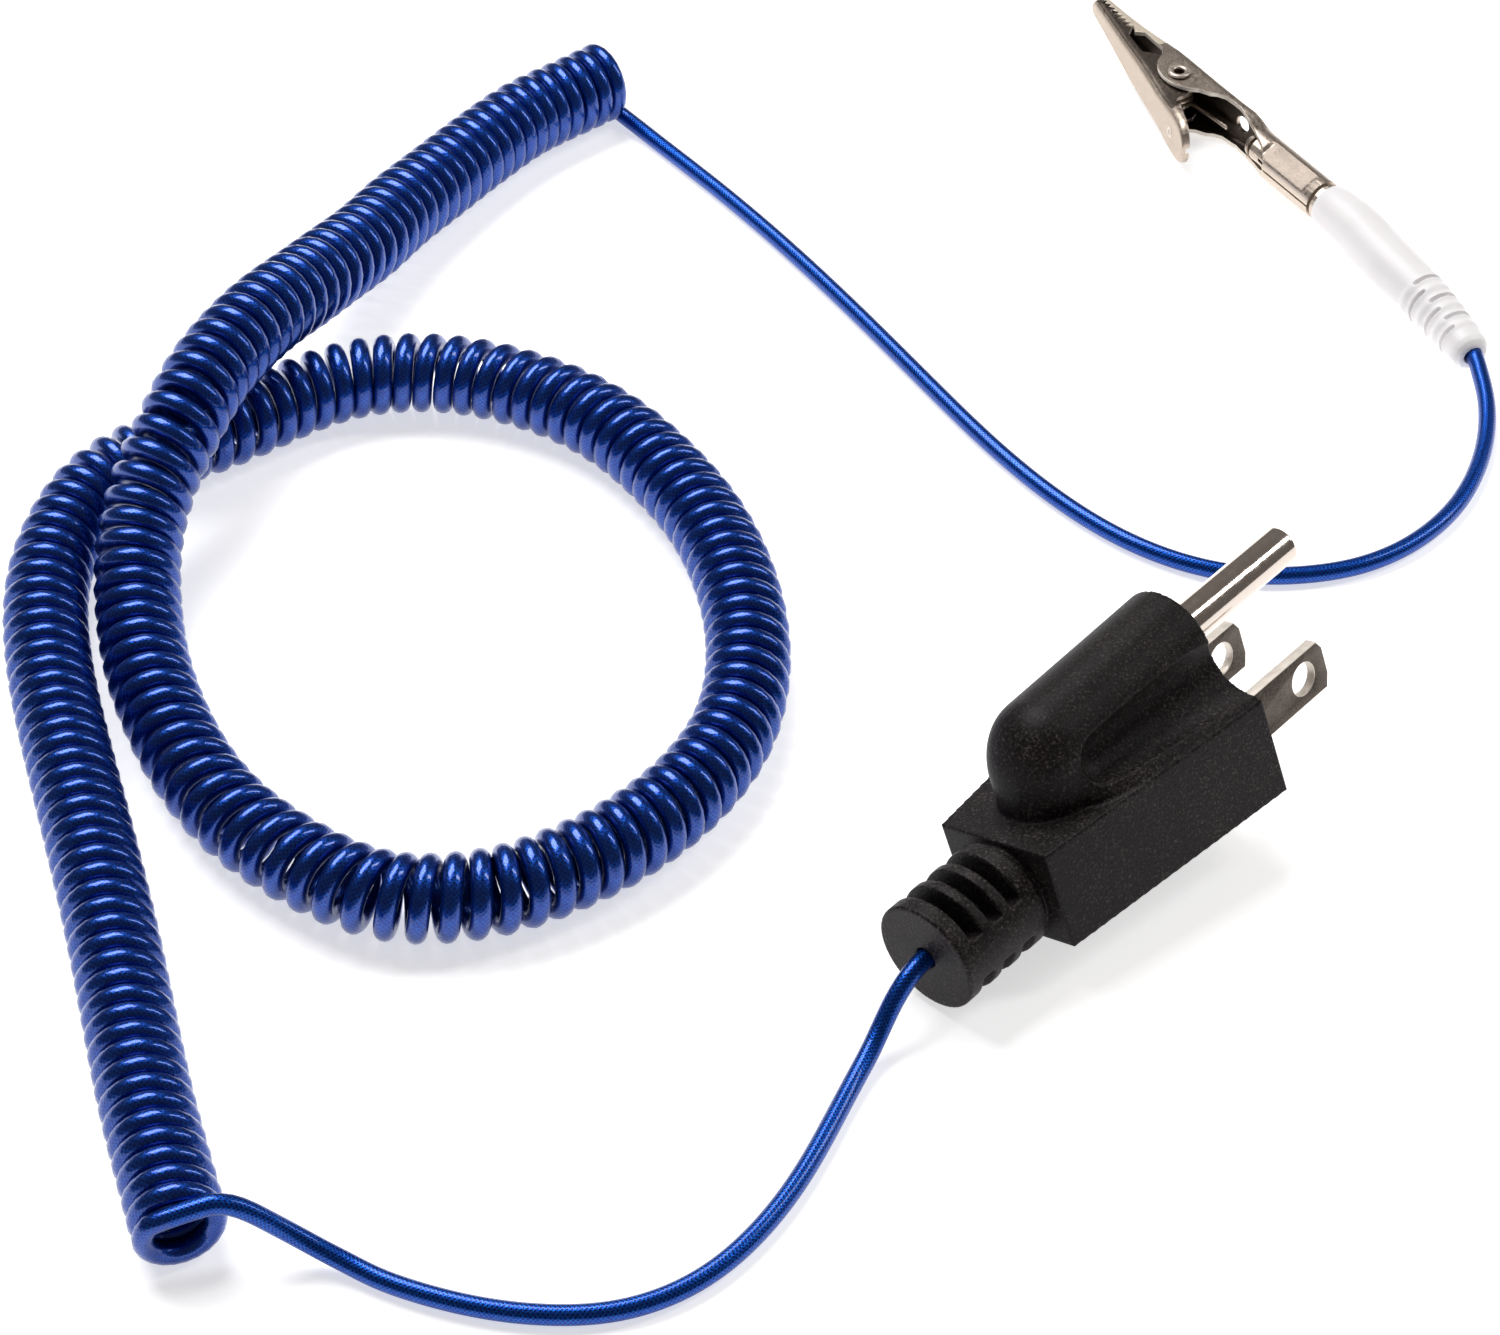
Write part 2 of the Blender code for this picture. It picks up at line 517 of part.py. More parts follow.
def clip_frame(frame, steel):
    """Fixed jaw, ears, tail and rolled barrel, folded from one sheet."""
    depth = 11.0 * MM
    half = SHEET / 2
    stations = (
        # x, half width of the middle line, y of the back's middle line, bend radius
        (56.2, 1.0, -2.95, 0.5), (55.0, 1.2, -2.9, 0.6), (50.0, 1.55, -2.6, 0.7), (45.0, 2.0, -2.35, 0.8),
        (40.0, 2.75, -2.1, 0.9), (36.0, 3.4, -1.85, 1.0), (33.0, 3.5, -1.75, 1.0), (26.0, 3.5, -1.65, 1.0),
        (21.0, 3.4, -1.8, 1.0), (18.5, 3.2, -2.1, 1.0),
    )
    rings = []
    for x, wide, back, bend in stations:
        line = [(z, y + back * MM) for z, y in channel_path(wide * MM, depth, bend * MM)]
        rings.append(sheet_ring(x * MM, line, SHEET))
    points = len(channel_path(1.0, 3.0, 0.5))
    roll = BARREL_RADIUS - half
    start = channel_path(3.0 * MM, depth, 1.0 * MM)
    for step, x in ((0.35, 17.0), (0.7, 15.4), (1.0, 14.0)):
        tube_line = barrel_path(roll, points, math.radians(3.5), 0.0)
        line = []
        for (z0, y0), (z1, y1) in zip(start, tube_line):
            y0 = min(y0 - 2.15 * MM, (1.0 + 5.0 * (1 - step)) * MM)
            line.append((z0 + (z1 - z0) * step, y0 + (y1 - y0) * step))
        rings.append(sheet_ring(x * MM, line, SHEET))
    for x in (12.4, 0.0):
        rings.append(sheet_ring(x * MM, barrel_path(roll, points, math.radians(3.5), 0.0), SHEET))
    bm = bmesh.new()
    loft(bm, rings)
    made = add_mesh("clip_frame", bm, steel, frame, smooth=35)

    bm = bmesh.new()
    prism(bm, frame_outline(), -6.1 * MM, 6.1 * MM)
    boolean(made, add_mesh("frame_profile", bm, None, frame), "INTERSECT")
    bm = bmesh.new()
    prism(bm, circle(RIVET_RADIUS + GAP, 20, RIVET_AT), -6 * MM, 6 * MM)
    boolean(made, add_mesh("frame_rivet_hole", bm, None, frame))
    bm = bmesh.new()
    hole = Matrix.Translation((20.4 * MM, 0, 0)) @ Matrix.Rotation(math.radians(90), 4, "X")
    turned(bm, ((0, 0), (1.25 * MM, 0), (1.25 * MM, 5 * MM), (0, 5 * MM)), 20, hole)
    boolean(made, add_mesh("frame_back_hole", bm, None, frame))


JAW_TIP = (56.1 * MM, -0.75 * MM)
JAW_END = (20.3 * MM, 9.6 * MM)


def jaw_outline():
    """The moving jaw's side view: teeth, notch, ear inside the frame's ear, and thumb lever."""
    teeth = wavy_edge((55.6 * MM, -2.15 * MM), (46.2 * MM, -1.05 * MM), TEETH, -TOOTH_DEPTH, 0.35)
    ear = [(RIVET_AT[0] + 3.0 * MM * math.cos(a), RIVET_AT[1] + 3.0 * MM * math.sin(a))
           for a in (math.radians(d) for d in range(-35, -186, -15))]
    rear = [(27.2 * MM, 3.5 * MM), (27.1 * MM, 5.3 * MM), (26.0 * MM, 6.3 * MM), (24.6 * MM, 6.6 * MM),
            (22.5 * MM, 7.4 * MM), (19.0 * MM, 8.8 * MM), (19.0 * MM, 13.0 * MM), (58.0 * MM, 3.0 * MM), (58.0 * MM, -2.1 * MM)]
    notch = [(44.9 * MM, 0.9 * MM), (39.9 * MM, 2.1 * MM), (37.4 * MM, 1.1 * MM)]
    return [*teeth, *notch, *ear, *rear]


def clip_jaw(frame, pivot, steel):
    """The sprung jaw and its thumb lever, folded from one sheet."""
    tip, end = Vector((*JAW_TIP, 0)), Vector((*JAW_END, 0))
    length = (end - tip).length
    along = (end - tip).normalized()
    inward = Vector((along.y, -along.x, 0))
    if inward.y > 0:
        inward = -inward
    stations = (
        (0.0, 0.55, 0.4), (0.25, 0.85, 0.45), (0.9, 1.05, 0.5), (6.0, 1.45, 0.6), (13.0, 2.0, 0.8),
        (19.0, 2.5, 0.9), (23.0, 2.6, 0.9), (31.5, 2.6, 0.9), (33.2, 3.0, 0.9), (35.0, 3.0, 0.9),
        (36.2, 2.45, 0.9), (36.9, 1.6, 0.6), (length / MM, 0.75, 0.4),
    )
    rings = []
    for at, wide, bend in stations:
        line = channel_path(wide * MM, 12.0 * MM, bend * MM)
        ring = sheet_ring(0.0, line, SHEET)
        base = tip + along * (at * MM)
        rings.append([base + inward * (y + SHEET / 2) + Vector((0, 0, z)) for _, y, z in ring])
    to_pivot = Vector((*RIVET_AT, 0))
    bm = bmesh.new()
    loft(bm, [[p - to_pivot for p in ring] for ring in rings])
    made = add_mesh("clip_jaw", bm, steel, pivot, smooth=35)
    bm = bmesh.new()
    prism(bm, [(x - to_pivot.x, y - to_pivot.y) for x, y in jaw_outline()], -6.1 * MM, 6.1 * MM)
    boolean(made, add_mesh("jaw_profile", bm, None, pivot), "INTERSECT")
    bm = bmesh.new()
    prism(bm, circle(RIVET_RADIUS + GAP, 20), -6 * MM, 6 * MM)
    boolean(made, add_mesh("jaw_rivet_hole", bm, None, pivot))


def clip_rivet(pivot, steel):
    """A hollow rivet with a rolled head at each end."""
    bore, head = 0.6 * MM, 1.7 * MM
    under, top = EAR_HALF + 0.12 * MM, EAR_HALF + 0.55 * MM
    half = [(RIVET_RADIUS, 0.0), (RIVET_RADIUS, under), (head - 0.1 * MM, under), (head, under + 0.15 * MM),
            (head - 0.15 * MM, top - 0.1 * MM), (head - 0.5 * MM, top), (bore + 0.35 * MM, top),
            (bore, top - 0.3 * MM)]
    profile = half + [(r, -z) for r, z in reversed(half[1:])]
    bm = bmesh.new()
    turned(bm, profile, 24)
    add_mesh("clip_rivet", bm, steel, pivot)


def clip_spring(pivot, steel):
    """A torsion spring round the rivet, one leg on the frame's back and one on the thumb lever."""
    wire, radius, turns, per_turn = 0.36 * MM, 1.95 * MM, 3, 12
    pitch = 0.95 * MM
    start = math.radians(-90)
    points = [(-8.6 * MM, -2.75 * MM, -turns * pitch / 2), (-4.0 * MM, -2.35 * MM, -turns * pitch / 2)]
    total = turns * per_turn + 5
    for i in range(total + 1):
        a = start + math.tau * i / per_turn
        points.append((radius * math.cos(a), radius * math.sin(a), pitch * (i / per_turn - turns / 2)))
    last = points[-1]
    points += [(-4.6 * MM, 3.0 * MM, last[2]), (-7.6 * MM, 5.0 * MM, last[2])]
    tube("clip_spring", points, wire, steel, pivot, sides=1)


# ---------------------------------------------------------------- banana plug and boot


def banana(frame, nickel):
    """The turned banana plug: nose, core, shoulder and hollow rear. Its lantern spring turns on the core."""
    along = Matrix.Rotation(math.radians(90), 4, "Y")
    core = 1.15 * MM
    profile = (
        (0.0, 16.6 * MM), (0.9 * MM, 16.4 * MM), (1.6 * MM, 15.7 * MM), (1.8 * MM, 15.0 * MM), (core, 14.9 * MM),
        (core, 0.0), (1.9 * MM, -0.1 * MM), (1.9 * MM, -0.4 * MM), (2.75 * MM, -0.5 * MM),
        (2.75 * MM, -1.5 * MM), (1.7 * MM, -1.7 * MM), (1.7 * MM, -7.6 * MM), (1.45 * MM, -7.6 * MM),
        (1.45 * MM, -4.5 * MM), (0.0, -4.5 * MM),
    )
    bm = bmesh.new()
    turned(bm, profile, 24, along)
    add_mesh("banana_body", bm, nickel, frame)


def banana_cage(frame, nickel):
    """The lantern: two collars joined by bowed leaves."""
    along = Matrix.Rotation(math.radians(90), 4, "Y")
    inner, outer, bow = 1.45 * MM, 1.75 * MM, 2.0 * MM
    profile = (
        (inner, 0.5 * MM), (outer, 0.5 * MM), (outer, 2.2 * MM), (bow, 4.5 * MM), (bow + 0.02 * MM, 7.5 * MM),
        (bow, 10.5 * MM), (outer, 12.8 * MM), (outer, 14.5 * MM), (inner, 14.5 * MM), (inner, 12.7 * MM),
        (bow - 0.3 * MM, 10.3 * MM), (bow - 0.28 * MM, 7.5 * MM), (bow - 0.3 * MM, 4.7 * MM), (inner, 2.3 * MM),
    )
    bm = bmesh.new()
    turned(bm, profile, 24, along)
    made = add_mesh("banana_cage", bm, nickel, frame)
    bm = bmesh.new()
    for i in range(6):
        turn = Matrix.Rotation(math.radians(60 * i + 30), 4, "X")
        low = [turn @ Vector(p) for p in ((2.6 * MM, -0.25 * MM, 1.2 * MM), (2.6 * MM, 0.25 * MM, 1.2 * MM),
                                          (2.6 * MM, 0.25 * MM, 2.6 * MM), (2.6 * MM, -0.25 * MM, 2.6 * MM))]
        high = [Vector((12.4 * MM, p.y, p.z)) for p in low]
        loft(bm, [low, high])
    boolean(made, add_mesh("cage_slits", bm, None, frame))


BOOT_LINE = (
    (-1.2, 0.0, 0.0), (-5.0, 0.0, 0.0), (-9.0, 0.3, -0.12), (-14.0, 1.2, -0.4), (-22.0, 1.5, -0.6), (-29.5, 1.9, -1.1),
    (-36.6, 3.1, -1.55),
)
BOOT_SHAPE = (
    # share of the length, outside radius
    (0.0, 2.85), (0.012, 3.0), (0.06, 3.3), (0.16, 3.62), (0.28, 3.8), (0.42, 3.65), (0.56, 3.3), (0.62, 3.2),
    (0.7, 3.12), (0.78, 3.0), (0.86, 2.85), (0.93, 2.78), (0.965, 2.72), (0.985, 2.5), (1.0, 2.1),
)


def line_frames(points):
    """For each point of a line: its place, direction, and the two directions across it."""
    points = [Vector(p) for p in points]
    frames = []
    for i, point in enumerate(points):
        ahead = points[min(i + 1, len(points) - 1)] - points[max(i - 1, 0)]
        ahead.normalize()
        side = ahead.cross(Vector((0, 0, 1))).normalized()
        frames.append((point, ahead, side, side.cross(ahead)))
    return frames


def round_along(bm, line, radii, count=24):
    rings = []
    for (place, _, side, up), radius in zip(line_frames(line), radii):
        rings.append([
            place + radius * (math.cos(math.tau * i / count) * side + math.sin(math.tau * i / count) * up)
            for i in range(count)
        ])
    loft(bm, rings)


def clip_boot(frame, white):
    """The white boot on the banana plug, with staggered slots where it flexes round the cord."""
    fine = spline(in_metres(BOOT_LINE), 201)
    shares = [s for s, _ in BOOT_SHAPE]
    bm = bmesh.new()
    round_along(bm, [fine[round(s * 200)] for s in shares], [r * MM for _, r in BOOT_SHAPE])
    boot = add_mesh("clip_boot", bm, white, frame)

    frames = line_frames(fine)
    bm = bmesh.new()
    for i in range(6):
        place, ahead, side, up = frames[round((0.635 + 0.052 * i) * 200)]
        lie = Matrix.Translation(place) @ Matrix((side, up, -ahead)).transposed().to_4x4()
        first = 75 if i % 2 == 0 else 165
        for middle in (first, first + 180):
            arc_slot(bm, 2.05 * MM, 4.6 * MM, -0.38 * MM, 0.38 * MM, math.radians(180 - middle),
                     math.radians(52), lie, 6)
    boolean(boot, add_mesh("boot_slots", bm, None, frame))

    bm = bmesh.new()
    socket = Matrix.Translation((1.0 * MM, 0, 0)) @ Matrix.Rotation(math.radians(-90), 4, "Y")
    wide, narrow = 3.05 * MM, 2.05 * MM
    profile = ((0, 0), (wide, 0), (wide, 2.75 * MM), (narrow, 2.95 * MM), (narrow, 10.2 * MM), (0, 10.2 * MM))
    turned(bm, profile, 20, socket)
    boolean(boot, add_mesh("boot_socket", bm, None, frame))
    bm = bmesh.new()
    reach = [fine[i] for i in range(38, 199, 4)]
    tail = Vector(reach[-1]) + (Vector(reach[-1]) - Vector(reach[-2])) * 2
    round_along(bm, reach + [tuple(tail)], [CORD_RADIUS + GAP] * (len(reach) + 1), 12)
    boolean(boot, add_mesh("boot_bore", bm, None, frame))
    return fine


def cord_end_clip(frame, fine, blue):
    """The cord's last stretch, inside the boot and crimped into the banana plug's hollow rear."""
    start, end = fine[0], fine[-1]
    inside = [tuple(fine[i]) for i in range(34, 195, 4)]
    tube("cord_end_clip", inside, CORD_RADIUS, blue, frame)
    return start, end


# ---------------------------------------------------------------- cord


def cord(blue):
    count = 80
    points = spline(in_metres(COIL_ROUTE), count)
    scales = []
    for i in range(count):
        far = max(0.0, 1.0 - i / (0.3 * count))
        scales.append((COIL_RADIUS + (COIL_END_RADIUS - COIL_RADIUS) * min(1.0, 2 * far)) / COIL_RADIUS)
    tube("cord_coil", points, COIL_RADIUS, blue, scales=scales, sides=2)
    tube("cord_lead_clip", spline(in_metres(CLIP_LEAD_ROUTE), 52), CORD_RADIUS, blue)
    tube("cord_lead_plug", spline(in_metres(PLUG_LEAD_ROUTE), 40), CORD_RADIUS, blue)


def main():
    clear_scene()
    black = material("black_pvc", (0.012, 0.012, 0.013), 0.6)
    blue = material("blue_polyurethane", (0.008, 0.03, 0.32), 0.25)
    white = material("white_pvc", (0.83, 0.82, 0.82), 0.55)
    nickel = material("nickel_plate", (0.76, 0.7, 0.64), 0.22, 1.0)
    tin = material("tinned_copper", (0.8, 0.8, 0.8), 0.35, 1.0)
    nylon = material("nylon", (0.55, 0.54, 0.5), 0.5)
    green = material("green_insulation", (0.03, 0.28, 0.07), 0.45)
    beige = material("resistor_coat", (0.62, 0.5, 0.33), 0.5)

    turn = (
        Matrix.Rotation(PLUG_YAW, 4, "Z") @ Matrix.Rotation(PLUG_PITCH, 4, "X") @ Matrix.Rotation(PLUG_ROLL, 4, "Y")
    )
    plug_frame = empty("plug_frame", PLUG_PLACE, turn)
    plug_housing(plug_frame, black)
    plug_insert(plug_frame, nylon)
    blade(plug_frame, "blade_left", -BLADE_OFFSET, nickel)
    blade(plug_frame, "blade_right", BLADE_OFFSET, nickel)
    ground_pin(plug_frame, nickel)
    mats = {"tin": tin, "green": green, "beige": beige, "nylon": nylon, "blue": blue}
    resistor_chain(plug_frame, mats)

    clip_axis = empty("clip_axis", CLIP_PLACE, Matrix.Rotation(CLIP_HEADING, 4, "Z"))
    pivot = empty("rivet_axis", (0, 0, 0), Matrix.Identity(4))
    pivot.parent = clip_axis
    pivot.location = (*RIVET_AT, 0)
    clip_frame(clip_axis, nickel)
    clip_jaw(clip_axis, pivot, nickel)
    clip_rivet(pivot, nickel)
    clip_spring(pivot, nickel)
    banana(clip_axis, nickel)
    banana_cage(clip_axis, nickel)
    fine = clip_boot(clip_axis, white)
    cord_end_clip(clip_axis, fine, blue)
    cord(blue)


main()
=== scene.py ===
"""A curly static-control grounding cord with a three-prong plug and an alligator clip, on a pale surface.
Everything is in metres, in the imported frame's own axes."""

import math

import bmesh
import bpy
import numpy as np
from mathutils import Matrix, Vector

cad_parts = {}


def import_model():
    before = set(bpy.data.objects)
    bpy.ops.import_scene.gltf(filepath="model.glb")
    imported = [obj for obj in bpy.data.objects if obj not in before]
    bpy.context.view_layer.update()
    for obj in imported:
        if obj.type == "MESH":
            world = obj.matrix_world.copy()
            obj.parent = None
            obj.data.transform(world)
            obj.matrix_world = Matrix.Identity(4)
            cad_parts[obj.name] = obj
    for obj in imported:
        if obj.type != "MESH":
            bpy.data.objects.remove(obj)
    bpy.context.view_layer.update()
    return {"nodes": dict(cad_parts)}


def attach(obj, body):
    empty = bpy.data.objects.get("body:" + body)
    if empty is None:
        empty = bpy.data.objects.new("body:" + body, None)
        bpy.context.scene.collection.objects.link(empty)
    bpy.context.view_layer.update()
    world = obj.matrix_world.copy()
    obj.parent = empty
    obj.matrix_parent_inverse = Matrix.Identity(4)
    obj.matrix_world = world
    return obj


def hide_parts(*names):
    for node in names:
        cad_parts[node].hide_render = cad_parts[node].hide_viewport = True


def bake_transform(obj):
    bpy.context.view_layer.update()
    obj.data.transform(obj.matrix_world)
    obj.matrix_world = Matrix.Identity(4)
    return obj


MM = 0.001
CORD_RADIUS = 1.15 * MM
COILED_RADIUS = 1.28 * MM  # the cord is a little fuller where it is wound
COIL_RADIUS, COIL_END_RADIUS = 5.25 * MM, 5.7 * MM  # outside the turns, which are wider at the clip's end
CORD_SIDES = 14
BRAID_PITCH, BRAID_STRANDS = 0.5 * MM, 12

CAMERA_PLACE, CAMERA_TILT, CAMERA_LENS = (-0.057, -0.38219, 0.3191), 47.0, 91.88
FLOOR_HALF, FLOOR_LEVEL = 1.6, -0.0001

PLUG_PLACE = (-5.3 * MM, -60.9 * MM, 10.7 * MM)
PLUG_TURN = (
    Matrix.Rotation(math.radians(-43.5), 4, "Z")
    @ Matrix.Rotation(math.radians(3.2), 4, "X")
    @ Matrix.Rotation(math.radians(-21.1), 4, "Y")
)
PLUG = Matrix.Translation(PLUG_PLACE) @ PLUG_TURN
CLIP = Matrix.Translation((22.4 * MM, 50.4 * MM, 4.35 * MM)) @ Matrix.Rotation(math.radians(121.6), 4, "Z")

# Routes in millimetres: the coil's middle line, from the clip's end to the plug's, and then the two leads.
COIL_ROUTE = (
    (-77.4, 77.8, 5.8), (-83.7, 72.5, 5.8), (-88.6, 68.3, 5.8), (-93.1, 62.9, 5.8), (-97.1, 57.3, 5.9),
    (-101.2, 50.8, 6.3), (-105.2, 43.7, 7.2), (-108.7, 35.5, 8.6), (-112.4, 27.4, 10.6),
    (-115.9, 19.3, 12.8), (-119.4, 11.5, 14.9), (-122.7, 3.4, 16.3), (-125.7, -4.8, 16.7),
    (-128.1, -12.4, 15.6), (-130.7, -19.4, 12.6), (-132.1, -26.9, 9.2), (-131.6, -35.2, 6.8),
    (-129.2, -46.4, 5.6), (-125.5, -56.2, 5.3), (-121.3, -64.4, 5.3), (-116.0, -71.5, 5.3),
    (-110.2, -76.8, 5.3), (-104.0, -81.0, 5.3), (-97.8, -83.5, 5.3), (-91.4, -83.8, 5.3),
    (-85.2, -82.6, 5.3), (-79.2, -79.9, 5.3), (-73.2, -76.0, 5.3), (-67.7, -71.0, 5.3), (-62.8, -64.6, 5.3),
    (-59.0, -56.5, 5.3), (-57.3, -46.6, 5.3), (-57.7, -36.3, 5.3), (-59.7, -26.7, 5.3), (-63.1, -17.6, 5.3),
    (-67.8, -9.4, 5.3), (-73.5, -1.9, 5.3), (-79.9, 3.8, 5.3), (-87.0, 7.8, 5.3), (-94.4, 10.3, 5.3),
    (-101.9, 10.9, 5.3), (-109.3, 9.4, 5.3), (-116.4, 5.5, 5.3), (-122.6, 0.9, 5.3), (-128.2, -2.7, 5.3),
    (-133.7, -6.2, 5.3), (-138.8, -11.2, 5.3), (-142.2, -19.5, 5.3), (-143.4, -29.4, 5.3),
    (-142.4, -39.6, 5.3), (-139.8, -51.0, 5.3), (-136.7, -61.6, 5.3), (-133.2, -73.0, 5.3),
    (-130.3, -82.6, 5.3), (-127.7, -91.7, 5.3), (-125.4, -100.3, 5.3), (-123.2, -108.6, 5.3),
    (-120.9, -116.6, 5.3), (-118.4, -124.4, 5.3), (-115.9, -132.2, 5.3),
)
# How tightly the turns lie: millimetres along the coil's route, and millimetres from turn to turn there.
COIL_PITCH = (
    (0, 2.38), (18, 2.55), (33, 2.65), (46, 3.05), (66, 3.25), (80, 3.1), (100, 3.2), (118, 3.1),
    (132, 2.9), (146, 3.1), (160, 3.38), (180, 3.28), (198, 3.15), (210, 2.93), (222, 2.8), (235, 2.84),
    (253, 3.05), (270, 2.93), (286, 2.95), (300, 3.1), (330, 3.05), (360, 2.98), (385, 2.9), (400, 3.0),
    (415, 2.85), (430, 2.68), (450, 2.78), (470, 2.74), (485, 2.58), (505, 2.6),
)
COIL_TURNS = 171.5
COIL_WIDE_SHARE = 0.15  # the turns are wide along this share of the coil, and then narrow along as much again
POINTS_PER_TURN = 22
TURN_FILL = 0.485  # the cord's radius as a share of the pitch, where the turns nearly touch
LEAD_STEP = 1.1  # millimetres from point to point along a straight lead
CLIP_LEAD_ROUTE = (
    (-74.2, 73.9, 1.2), (-71.0, 69.7, 1.2), (-63.1, 59.4, 1.2), (-54.6, 47.6, 1.2), (-46.7, 35.6, 1.2),
    (-39.2, 23.4, 1.2), (-32.0, 11.3, 1.2), (-25.0, 0.1, 1.2), (-17.4, -10.0, 1.2), (-9.6, -17.6, 1.2),
    (-2.0, -22.2, 1.2), (5.6, -24.3, 1.2), (13.4, -24.1, 1.2), (18.7, -22.8, 1.2), (23.9, -20.2, 1.2),
    (28.9, -16.1, 1.2), (33.3, -10.6, 1.2), (36.7, -3.9, 1.3), (38.9, 3.4, 1.6), (39.6, 9.5, 2.2),
    (39.4, 14.6, 2.7), (39.1, 17.6, 3.0), (38.4, 20.6, 3.2),
)
PLUG_LEAD_ROUTE = (
    (-111.0, -130.9, 8.95), (-108.6, -130.8, 7.5), (-106.5, -130.75, 5.6), (-104.2, -130.95, 3.8),
    (-101.8, -131.6, 2.5), (-99.0, -132.7, 1.6), (-96.1, -134.2, 1.25), (-92.0, -136.0, 1.2),
    (-86.4, -137.8, 1.2), (-78.1, -139.1, 1.2), (-70.4, -138.5, 1.2), (-62.8, -135.0, 1.2),
    (-56.4, -128.6, 1.2), (-51.1, -119.9, 1.2), (-47.4, -111.6, 1.2), (-45.2, -106.6, 1.4),
    (-43.7, -103.6, 2.1), (-42.5, -101.4, 3.4), (-41.5, -99.9, 4.9), (-40.4, -98.5, 6.3),
    (-39.2, -97.1, 7.3),
)


# ---- mesh tools


def spline(points, step):
    """Points about a step apart along the natural cubic curve through the given ones."""
    points = np.array(points, float)
    gaps = np.linalg.norm(np.diff(points, axis=0), axis=1)
    at = np.concatenate([[0.0], np.cumsum(gaps)])
    size = len(points)
    left = np.eye(size)
    right = np.zeros((size, points.shape[1]))
    for i in range(1, size - 1):
        left[i, i - 1 : i + 2] = gaps[i - 1], 2 * (gaps[i - 1] + gaps[i]), gaps[i]
        slopes = np.diff(points[i - 1 : i + 2], axis=0) / gaps[i - 1 : i + 1, None]
        right[i] = 6 * (slopes[1] - slopes[0])
    bend = np.linalg.solve(left, right)
    where = np.linspace(0, at[-1], max(2, int(round(at[-1] / step)) + 1))
    index = np.clip(np.searchsorted(at, where, side="right") - 1, 0, size - 2)
    h = gaps[index][:, None]
    u = (at[index + 1] - where)[:, None]
    v = (where - at[index])[:, None]
    return (
        (bend[index] * u**3 + bend[index + 1] * v**3) / (6 * h)
        + (points[index] / h - bend[index] * h / 6) * u
        + (points[index + 1] / h - bend[index + 1] * h / 6) * v
    )


def lengths(points):
    """How far along the line each point lies."""
    return np.concatenate([[0.0], np.cumsum(np.linalg.norm(np.diff(points, axis=0), axis=1))])


def unit(v):
    return v / np.linalg.norm(v, axis=-1, keepdims=True)


def placed(name, data):
    """A new object in the scene."""
    obj = bpy.data.objects.new(name, data)
    bpy.context.scene.collection.objects.link(obj)
    return obj


def tube_mesh(name, points, radius, sides):
    """A tube along points, with UVs: metres along it, and turns round it."""
    points = np.array(points)
    ahead = unit(np.gradient(points, axis=0))
    count = len(points)
    side = np.zeros_like(points)
    start = np.cross(ahead[0], (0.0, 0.0, 1.0))
    side[0] = start / np.linalg.norm(start)
    for i in range(1, count):
        carried = side[i - 1] - ahead[i] * np.dot(side[i - 1], ahead[i])
        side[i] = carried / np.linalg.norm(carried)
    up = np.cross(ahead, side)
    turn = np.arange(sides) * math.tau / sides
    radii = np.broadcast_to(np.asarray(radius, float), (count,))
    rings = points[:, None] + radii[:, None, None] * (
        np.cos(turn)[None, :, None] * side[:, None] + np.sin(turn)[None, :, None] * up[:, None]
    )
    verts = rings.reshape(-1, 3)
    ring = np.arange(count - 1)[:, None] * sides
    around = np.arange(sides)[None, :]
    after = (around + 1) % sides
    faces = np.stack([ring + around, ring + after, ring + sides + after, ring + sides + around], axis=-1)
    faces = faces.reshape(-1, 4)
    mesh = bpy.data.meshes.new(name)
    caps = [list(range(sides))[::-1], list(range((count - 1) * sides, count * sides))]
    mesh.from_pydata(verts.tolist(), [], faces.tolist() + caps)
    along = lengths(points)
    layer = mesh.uv_layers.new(name="along_and_round")
    a = np.broadcast_to(along[:-1, None], (count - 1, sides))
    b = np.broadcast_to(along[1:, None], (count - 1, sides))
    r0 = np.broadcast_to(around / sides, (count - 1, sides))
    r1 = r0 + 1.0 / sides
    uv = np.stack([np.stack(pair, -1) for pair in ((a, r0), (a, r1), (b, r1), (b, r0))], 2)
    flat = np.zeros((len(mesh.loops), 2))
    flat[: uv.size // 2] = uv.reshape(-1, 2)
    layer.data.foreach_set("uv", flat.ravel())
    mesh.shade_smooth()
    mesh.validate()
    return placed(name, mesh)


def mesh_object(name, bm, angle=40):
    """An object from bm, shaded smooth, with edges sharper than angle left sharp, or none where it is 0."""
    bmesh.ops.recalc_face_normals(bm, faces=bm.faces)
    mesh = bpy.data.meshes.new(name)
    bm.to_mesh(mesh)
    bm.free()
    mesh.shade_smooth()
    if angle:
        mesh.set_sharp_from_angle(angle=math.radians(angle))
    return placed(name, mesh)


def paint(obj, material):
    """The one material on all of obj."""
    obj.data.materials.clear()
    obj.data.materials.append(material)


# ---- materials


